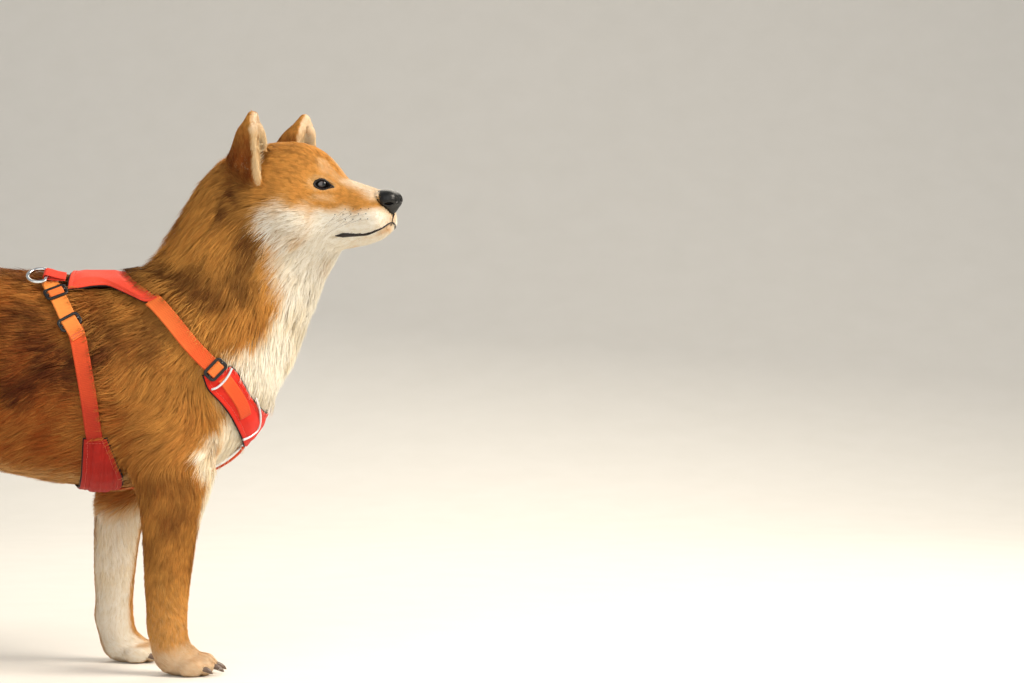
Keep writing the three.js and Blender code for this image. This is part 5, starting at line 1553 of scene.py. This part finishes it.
def on_coat(points):
    """The nearest places on the coat, and the way out of it there."""
    points = np.asarray(points, float)
    found = [form_tree.find_nearest(p) for p in points.reshape(-1, 3).tolist()]
    out = unit(harness_normals[form_triangles[[f[2] for f in found]]].mean(1))
    return np.array([f[0] for f in found]).reshape(points.shape), out.reshape(points.shape)


def seen(spots):
    """The places on the coat that the photograph shows at its pixels."""
    across, down = (np.array(spots) - PHOTO_MIDDLE).T / FOCAL
    return met(form_tree, CAMERA_AT, unit(np.stack([across, 1 + 0 * across, -down], 1)), 5000)


def spans(grid):
    """Each place's distance along and across a grid, and from its nearest rim, in mm."""
    ways = []
    rims = []
    for axis in (0, 1):
        steps = np.linalg.norm(np.diff(grid, axis=axis), axis=2)
        start = 0 * np.take(steps, [0], axis)
        way = np.cumsum(np.concatenate([start, steps], axis), axis)
        ways.append(way)
        rims.append(np.minimum(way, np.take(way, [-1], axis) - way))
    return *ways, np.minimum(*rims)


def rounded(rim, radius):
    """The height of a rounded edge, of 1 where the rim is a radius away."""
    return np.sqrt(np.maximum(1 - (1 - np.minimum(rim / radius, 1)) ** 2, 0.0016))


def ends_fine(count):
    """Shares from 0 to 1, closer together towards both ends."""
    return 0.5 - 0.5 * np.cos(math.pi * np.linspace(0, 1, count))


def sheet(name, upper, lower, lay_on, finish, tone):
    """A closed sheet between two grids of places; its weave is laid on a third, in mm."""
    rows, columns = lay_on.shape[:2]
    n = rows * columns
    index = np.arange(n).reshape(rows, columns)
    top = [index[:-1, :-1], index[1:, :-1], index[1:, 1:], index[:-1, 1:]]
    top = np.stack(top, -1).reshape(-1, 4)
    loop = np.concatenate([index[0, :-1], index[:-1, -1], index[-1, :0:-1], index[:0:-1, 0]])
    after = np.roll(loop, -1)
    rim = np.stack([loop, after, after + n, loop + n], 1)
    faces = np.concatenate([top, top[:, ::-1] + n, rim])
    points = np.concatenate([upper.reshape(-1, 3), lower.reshape(-1, 3)])
    middle = top[len(top) // 2]
    a, b, c, _ = points[middle]
    if np.cross(b - a, c - a) @ (a - points[middle[0] + n]) < 0:
        faces = faces[:, ::-1]
    piece = mesh_object(name, place(points), faces, finish)
    lay = np.stack(spans(lay_on)[:2], -1).reshape(-1, 2)
    lay = np.concatenate([lay, lay])[faces.ravel()]
    piece.data.uv_layers.new(name="weave").data.foreach_set("uv", lay.astype(np.float32).ravel())
    written(piece, "tone", "FLOAT", np.broadcast_to(tone, (2, rows, columns)))
    return piece


def slab(name, grid, low, high, finish, tone, slot, *nodes):
    """A closed piece over a grid of places on the coat, between two heights above them."""
    at, out = on_coat(grid)
    shape = (*grid.shape[:2], 1)
    upper = at + out * np.broadcast_to(high, grid.shape[:2]).reshape(shape)
    lower = at + out * np.broadcast_to(low, grid.shape[:2]).reshape(shape)
    piece = sheet(name, upper, lower, at, finish, tone)
    belongs(piece, slot, *nodes)
    return piece


def wider(grid, by):
    """A grid with its rim moved outwards."""
    grid = grid.copy()
    for axis in (0, 1):
        rows = np.moveaxis(grid, axis, 0)
        for end, inner in ((0, 8), (-1, -9)):
            rows[end] += unit(rows[end] - rows[inner]) * by
    return grid


def far_along(line):
    """The distance of each place on a line from its start."""
    return np.concatenate([[0], np.cumsum(np.linalg.norm(np.diff(line, axis=0), axis=1))])


def read_along(line, distances):
    """The places on a line at these distances from its start."""
    far = far_along(line)
    return np.stack([np.interp(distances, far, line[:, k]) for k in range(3)], -1)


stitch_places, stitch_ways, stitch_outs = [], [], []


def sew(line, level, pitch=3.3):
    """Marks a row of stitches along a line on the coat, at a height above it."""
    line = np.asarray(line, float)
    points = read_along(line, np.arange(pitch / 2, far_along(line)[-1], pitch))
    found, out = on_coat(points)
    stitch_places.extend(found + out * level)
    stitch_ways.extend(np.gradient(points, axis=0))
    stitch_outs.extend(out)


PAD_LOW = 0.7  # mm over the coat, where the cover meets its lining
PAD_COVER = 1.35  # its thickness at the hem
PAD_FOAM = 1.5  # more thickness inside the hem
HEM = 4.2  # mm from the rim to the row of stitches
LINING_OUT = 1.3  # mm that the lining shows past the cover


def pad(name, grid, tone, node, seams=(), folds=0.4):
    """A sewn panel: a cover plump between its hems, and a lining that shows past its rim."""
    along, across, rim = spans(grid)
    puff = PAD_FOAM * smoothstep(rim, HEM, HEM + 9)
    sunk = 0.45 * np.exp(-(((rim - HEM) / 0.8) ** 2))
    for seam in seams:
        sunk = sunk + 0.9 * np.exp(-((along - seam) ** 2))
    ripple = folds * waves(grid.reshape(-1, 3) * (0.6, 1, 1.5), 13, 21).reshape(rim.shape)
    ripple = ripple * smoothstep(rim, 1, 8)
    high = PAD_LOW + rounded(rim, 1.2) * (PAD_COVER + puff - sunk + ripple)
    cover = slab(name, grid, PAD_LOW, high, cloth, tone, "panel_cloth", node)
    under = wider(grid, LINING_OUT)
    lining_high = 0.62 * rounded(spans(under)[2], 0.6)
    slab(name + "_lining", under, -0.2, lining_high, lining, 0.5, "panel_cloth")
    for axis, far in enumerate((along, across)):
        every = np.arange(grid.shape[1 - axis])
        last = np.take(far, [-1], axis)
        for target in (0 * last + HEM, last - HEM):
            wanted = np.argmin(np.abs(far - target), axis=axis)
            line = grid[wanted, every] if axis == 0 else grid[every, wanted]
            sew(line[6:-6], PAD_LOW + 1.1)


# Yoke. The padded piece over the withers, narrow behind, with a lobe down each shoulder.
YOKE_TURN = [27, 25.5, 23, 22.3, 27, 32, 37, 36.5]  # degrees out from the spine, rear to front
YOKE_EDGE = [76, 87, 99, 113, 127, 140, 154, 168]  # x of its two edges, rear to front
YOKE_SPINE = (74, 127)  # x of its rear and front on the spine
YOKE_AXIS = 290  # height that it turns about


def down_yoke(values, rows):
    """Values given at even steps from the yoke's rear to its front, read at each row."""
    smooth = curve_through(np.array(values)[:, None], 8)[:, 0]
    return np.interp(rows, np.linspace(0, 1, len(smooth)), smooth)[:, None]


rows = ends_fine(64)
sides = ends_fine(151)[None] * 2 - 1
turn = np.radians(down_yoke(YOKE_TURN, rows) * sides)
share = np.abs(sides) ** 1.9
yoke_x = np.interp(rows, (0, 1), YOKE_SPINE)[:, None] * (1 - share)
yoke_x = yoke_x + down_yoke(YOKE_EDGE, rows) * share
ways = np.stack([0 * turn, np.sin(turn), np.cos(turn)], 2).reshape(-1, 3)
starts = np.stack([yoke_x, 0 * yoke_x, 0 * yoke_x + YOKE_AXIS], 2).reshape(-1, 3)
yoke_grid = met(form_tree, starts, ways).reshape(*turn.shape, 3)
pad("yoke_pad", yoke_grid, 0.16, "yoke", folds=0.55)


# Breast panel. A padded V from slide to slider over the breastbone, with a reflective piping
# across each arm of it and round its point.
BREAST_LOW = [  # its lower edge, from the right slide to the breastbone
    (213, -72, 293),
    (218, -70, 280),
    (229, -63, 267),
    (238, -54, 254),
    (244, -33, 236),
    (245, 0, 222),
]
BREAST_HIGH = [
    (238, -64, 302),
    (244, -61, 296),
    (250, -56, 285),
    (257, -45, 271),
    (260, -26, 262),
    (262, 0, 257),
]
ACROSS_ARM = [(211, 389), (217, 386), (224, 379), (231, 368)]  # pixels of the photograph
ROUND_POINT = [(254, 397), (258, 413), (256, 427), (249, 434), (241, 438)]
PIPING_AT = (3.2, 5.1)  # mm over the coat, at an arm's rims and its middle
PIPING_RADIUS = 1.15


def both_sides(points):
    """A line that ends on the midline, run on down the other side."""
    return points + [(x, -y, z) for x, y, z in points[-2::-1]]


def between(edge_a, edge_b, along, across):
    """A grid between two edges, given from corner to corner."""
    lines = []
    for edge in (edge_a, edge_b):
        line = curve_through(edge, 10)
        lines.append(read_along(line, ends_fine(along) * far_along(line)[-1]))
    share = ends_fine(across)[:, None, None]
    return on_coat(lines[0][None] * (1 - share) + lines[1][None] * share)[0]


breast_grid = between(both_sides(BREAST_LOW), both_sides(BREAST_HIGH), 170, 40)
pad("breast_pad", breast_grid, 0.5, "chest_panel", folds=0.5)
for side, sign in SIDES:
    for name, spots in (("piping_arm", ACROSS_ARM), ("piping_point", ROUND_POINT)):
        at, out = on_coat(curve_through(seen(spots), 8) * (1, -sign, 1))
        arch = np.minimum(2 * np.sin(np.linspace(0, math.pi, len(at))), 1)
        arch *= name == "piping_arm"
        raised = at + out * np.interp(arch, (0, 1), PIPING_AT)[:, None]
        belongs(tube(f"{name}_{side}", raised, PIPING_RADIUS, piping), "panel_cloth")


# Belly panel. Padded, under the ribs behind the elbows, sewn across in three lines at each end.
BELLY_REAR = [
    (96, -70, 231),
    (93, -58, 211),
    (88, -38, 190),
    (78, 0, 178),
    (64, 38, 190),
    (62, 58, 211),
    (66, 70, 231),
]
BELLY_FRONT = [
    (118, -70, 231),
    (124, -59, 211),
    (128, -36, 189),
    (116, 0, 178),
    (84, 38, 190),
    (83, 58, 211),
    (85, 70, 231),
]
BELLY_SEAMS = (9, 18, 32)  # mm from each end
belly_grid = between(BELLY_REAR, BELLY_FRONT, 130, 44)
reach = spans(belly_grid)[0].max()
seams = BELLY_SEAMS + tuple(reach - seam for seam in BELLY_SEAMS)
# its deep tone is partly painted shade under the trunk
pad("belly_pad", belly_grid, 0.88, "belly_panel", seams, 0.3)


# Webbing. Woven nylon 16 mm wide, from the yoke down both shoulders and flanks and under the
# breast, orange, and redder and darker where it runs low, partly painted shade. Its ends go
# under the padded pieces.
WEBBING = 16
WEBBING_THICK = 1.7
LIE = 0.6  # mm over the coat, where the webbing lies free
STERNUM = [
    (243, 0, 222),
    (241, 0, 216),
    (232, 0, 204),
    (214, 0, 190),
    (190, 0, 182),
    (160, 0, 178),
    (126, 0, 177),
    (112, 0, 177),
]
SHOULDER = [  # the right one, from the yoke to the breast panel
    (160, -55, 367),
    (166.5, -60, 362),
    (180, -68, 348),
    (195, -72.6, 330),
    (207.5, -72.7, 316),
    (219, -70, 304),
    (231, -66, 291.5),
    (238, -60, 281),
    (246, -50, 266),
    (250, -42, 253),
]
FLANK = [  # the right one, from the yoke to the belly panel
    (57, -39, 385),
    (60, -44, 381),
    (64, -50, 376),
    (69, -55.3, 369),
    (75.6, -62.7, 358),
    (82, -69, 345.5),
    (89.7, -73, 334),
    (96, -79.4, 308.6),
    (101.2, -80.8, 279.6),
    (103.7, -78.4, 260),
    (105.5, -73, 240),
    (106.5, -69, 229),
]
SWING_FROM = 345  # the height from which the left flank's webbing runs back,
SWING_OVER = 90  # over this much of its way down
SWING = -24  # by so much, as that foreleg stands further back


def strap(name, path, tones, levels, *nodes, width=WEBBING, thick=WEBBING_THICK):
    """Webbing along a path; its tone and its height above the coat run evenly through those
    given, and its edges are its thicker selvedges."""
    at, out = on_coat(curve_through(path, 10))
    way = unit(np.gradient(at, axis=0))
    beside = unit(np.cross(out, way))
    offsets = np.sin(np.linspace(-math.pi / 2, math.pi / 2, 17)) * width / 2
    grid = on_coat(at[:, None] + beside[:, None] * offsets[None, :, None])[0]
    flat = np.zeros(grid.shape[:2])
    share = np.linspace(0, 1, len(at))[:, None]
    low = np.interp(share, np.linspace(0, 1, len(levels)), levels) + flat
    tone = np.interp(share, np.linspace(0, 1, len(tones)), tones) + flat
    rim = (width / 2 - np.abs(offsets))[None] + flat
    high = low + thick * rounded(rim, 0.7) + 0.22 * np.exp(-(((rim - 1.1) / 0.5) ** 2))
    slab(name, grid, low, high, band_cloth, tone, "webbing", *nodes)


def point_on(path, share):
    """A place along a path on the coat, the way there and the way out."""
    at, _ = on_coat(curve_through(path, 10))
    far = far_along(at)
    where = share * far[-1]
    spot, out = on_coat(read_along(at, where))
    way = unit(np.gradient(at, axis=0)[int(np.argmin(np.abs(far - where)))])
    return spot, unit(way - out * (way @ out)), out


def closed_tube(name, line, over, wide, thick, finish, sides=14):
    """A closed loop of bar with rounded sides, `wide` in its plane and `thick` along `over`."""
    line = np.asarray(line, float)
    ways = unit(np.roll(line, -1, 0) - np.roll(line, 1, 0))
    beside = unit(np.cross(ways, over))
    turn = np.arange(sides) * 2 * math.pi / sides
    c, d = (np.sign(v) * np.abs(v) ** 0.6 for v in (np.cos(turn), np.sin(turn)))
    rings = line[:, None] + beside[:, None] * c[None, :, None] * wide / 2
    rings = rings + np.asarray(over)[None, None] * d[None, :, None] * thick / 2
    points = rings.reshape(-1, 3)
    faces = outward(points - points.mean(0), ring_faces(len(line), sides, closed=True))
    return mesh_object(name, place(points), faces, finish)


SLIDE = (11.6, 7.5)  # half its width and length
SLIDE_BAR = 3.0
SLIDE_CORNER = 3.0
SLIDE_THICK = 2.4
SLIDE_FREE = 1.2  # mm that the webbing stays inside the slide's ends
END_LONG = 11  # mm of webbing that comes back over the end of the frame
END_ROWS = (1.6, 4.4)  # mm from its cut edge to its rows of stitches


def slide(name, path, share, level, node, over_end=False):
    """A slide and the webbing threaded over its middle bar, which comes back down over the far
    end of the frame where `over_end` is set."""
    at, way, out = point_on(path, share)
    beside = unit(np.cross(way, out))
    wide, long = SLIDE[0] - SLIDE_BAR / 2, SLIDE[1] - SLIDE_BAR / 2
    middle = at + out * (level + SLIDE_THICK / 2)
    line = []
    for x, y, start in ((1, 1, 0), (-1, 1, 90), (-1, -1, 180), (1, -1, 270)):
        for turn in np.radians(np.linspace(start, start + 90, 7)):
            u = (wide - SLIDE_CORNER) * x + SLIDE_CORNER * math.cos(turn)
            v = (long - SLIDE_CORNER) * y + SLIDE_CORNER * math.sin(turn)
            line.append(middle + beside * u + way * v)
    belongs(closed_tube(name, line, out, SLIDE_BAR, SLIDE_THICK, acetal), "buckle", node)
    line = [middle + beside * u for u in np.linspace(-wide, wide, 9)]
    belongs(tube(name + "_bar", line, SLIDE_BAR / 2, acetal, 12), "buckle")
    under, top = level - 0.9, level + SLIDE_THICK + 0.15
    ends = (SLIDE_FREE - SLIDE[1], SLIDE[1] - SLIDE_FREE)
    tones = (0.25, 0.3)
    heights = (under, level, top - 0.2, top, top, top - 0.2, level, under)
    if over_end:
        ends = (ends[0], SLIDE[1] + END_LONG)
        tones = (0.05, 0.3)
        heights = (under, level, top, top, top, top, top - 0.6, 2.6, 2.4, 2.4, 2.4)
        for back in END_ROWS:
            row = at + way * (ends[1] - back) + beside * np.linspace(-5.5, 5.5, 9)[:, None]
            sew(row, 4.0, 1.9)
    run = [at + way * v for v in np.linspace(*ends, 5)]
    strap(name + "_turn", run, tones, heights, width=WEBBING - 1.2, thick=1.3)


SHOULDER_LEVELS = (-0.8, 0.5, LIE, LIE, LIE, LIE, LIE, 1.6)
BREAST_LEVELS = (2.6, 3.1, 3.1, 2.4)  # over the breast panel
FLANK_LEVELS = (0.8, LIE, LIE, LIE, LIE, 0.2, -0.8)
TOP_LEVELS = (LIE, LIE, LIE, LIE, 1.4)
STERNUM_LEVELS = (-0.8, 0.4, LIE, LIE, LIE, LIE, 0.4, -0.8)
# Tones run redder and darker down each strap, partly painted shade
for side, sign in SIDES:
    shoulder = [(x, -y * sign, z) for x, y, z in SHOULDER]
    flank = []
    for x, y, z in FLANK:
        back = SWING * smoothstep((SWING_FROM - z) / SWING_OVER, 0, 1) * (sign > 0)
        flank.append((x + back, -y * sign, z))
    strap(
        f"shoulder_webbing_{side}",
        shoulder[:6],
        (0.28, 0.38, 0.5),
        SHOULDER_LEVELS,
        f"shoulder_strap_{side}",
    )
    strap(
        f"breast_webbing_{side}",
        shoulder[6:],
        (0.45, 0.62),
        BREAST_LEVELS,
        f"chest_strap_{side}",
        width=WEBBING - 3,
        thick=1.4,
    )
    top_node, flank_node = f"side_strap_upper_{side}", f"side_strap_{side}"
    strap(f"flank_webbing_top_{side}", flank[:6], (0.0, 0.1), TOP_LEVELS, top_node)
    strap(f"flank_webbing_{side}", flank[5:], (0.4, 0.6, 0.85, 1.0), FLANK_LEVELS, flank_node)
    slide(f"breast_slide_{side}", shoulder[1:-1], 0.66, 3.2, f"chest_slider_{side}")
    slide(f"top_slide_{side}", flank[1:], 0.07, 2.2, f"top_buckle_{side}")
    slide(f"flank_slide_{side}", flank[1:], 0.29, 2.2, f"side_slider_{side}", over_end=True)
strap("breastbone_webbing", STERNUM, (0.6, 0.8), STERNUM_LEVELS, "sternum_strap")


# Lead ring. A bent steel wire D lying on the near side of the back, and the doubled band of
# red cloth that holds its straight side to the yoke.
RING_AT = np.array([47.5, -42, 391.3])
RING_RADIUS = 11.5
RING_WIRE = 1.6
RING_BEND = 52  # degrees from straight ahead to each end of the straight side
LINK_WIDE = 12
LINK_THICK = 1.1
LINK_OVER = [(25.5, -2.6), (17, -0.6), (11, 1.7)]  # mm ahead of the ring's middle, and above it
LINK_UNDER = [(12, -3.2), (25.5, -4.2)]
LINK_DOWN = -3  # mm that the band sits towards the spine
ring_out = on_coat(RING_AT)[1]
ring_down = unit(np.cross((1, 0, 0), ring_out))


def by_ring(forward, down, away):
    """A place by the ring's middle, in mm ahead, down the back's side, and off the coat."""
    return RING_AT + np.array([1.0, 0, 0]) * forward + ring_down * down + ring_out * away


arc = np.radians(np.linspace(RING_BEND, 360 - RING_BEND, 60))
wire = [by_ring(RING_RADIUS * math.cos(t), RING_RADIUS * math.sin(t), 0) for t in arc]
bar_x = RING_RADIUS * math.cos(math.radians(RING_BEND))
half_bar = RING_RADIUS * math.sin(math.radians(RING_BEND))
for v in np.linspace(-half_bar, half_bar, 22)[1:-1]:
    wire.append(by_ring(bar_x + 0.4 * (1 - (v / half_bar) ** 2), v, 0))
ring = closed_tube("lead_ring_wire", wire, ring_out, 2 * RING_WIRE, 2 * RING_WIRE, steel, 18)
belongs(ring, "ring", "lead_ring")
round_bar = RING_WIRE + LINK_THICK
turns = np.radians(range(75, 290, 15))
link = [(bar_x + round_bar * math.cos(t), round_bar * math.sin(t)) for t in turns]
link = [by_ring(ahead, LINK_DOWN, above) for ahead, above in LINK_OVER + link + LINK_UNDER]
link = curve_through(link, 4)
face_out = unit(np.cross(unit(np.gradient(link, axis=0)), ring_down))
offsets = np.sin(np.linspace(-math.pi / 2, math.pi / 2, 11)) * LINK_WIDE / 2
thick = rounded(LINK_WIDE / 2 - np.abs(offsets), 0.6)[None, :, None] * LINK_THICK
flat = link[:, None] + ring_down * offsets[None, :, None]
upper, lower = (flat + face_out[:, None] * thick * half for half in (0.5, -0.5))
belongs(sheet("ring_band", upper, lower, upper, cloth, 0.3), "panel_cloth", "ring_link")


# Stitches. Rows of lockstitch along the hems and across the ends of the webbing.
bow = np.linspace(0, 1, 5)
stitch_line = np.stack([2.1 * (bow - 0.5), 0 * bow, 0.25 * np.sin(math.pi * bow)], 1)
stitch = tapered("stitch", stitch_line, 0.24, 5)
turns = []
for way, out in zip(unit(stitch_ways), stitch_outs):
    turns += towards([way], tuple(out))
sizes = np.ones((len(turns), 3))
belongs(repeated("stitches", stitch, stitch_places, turns, sizes, thread), "panel_cloth")
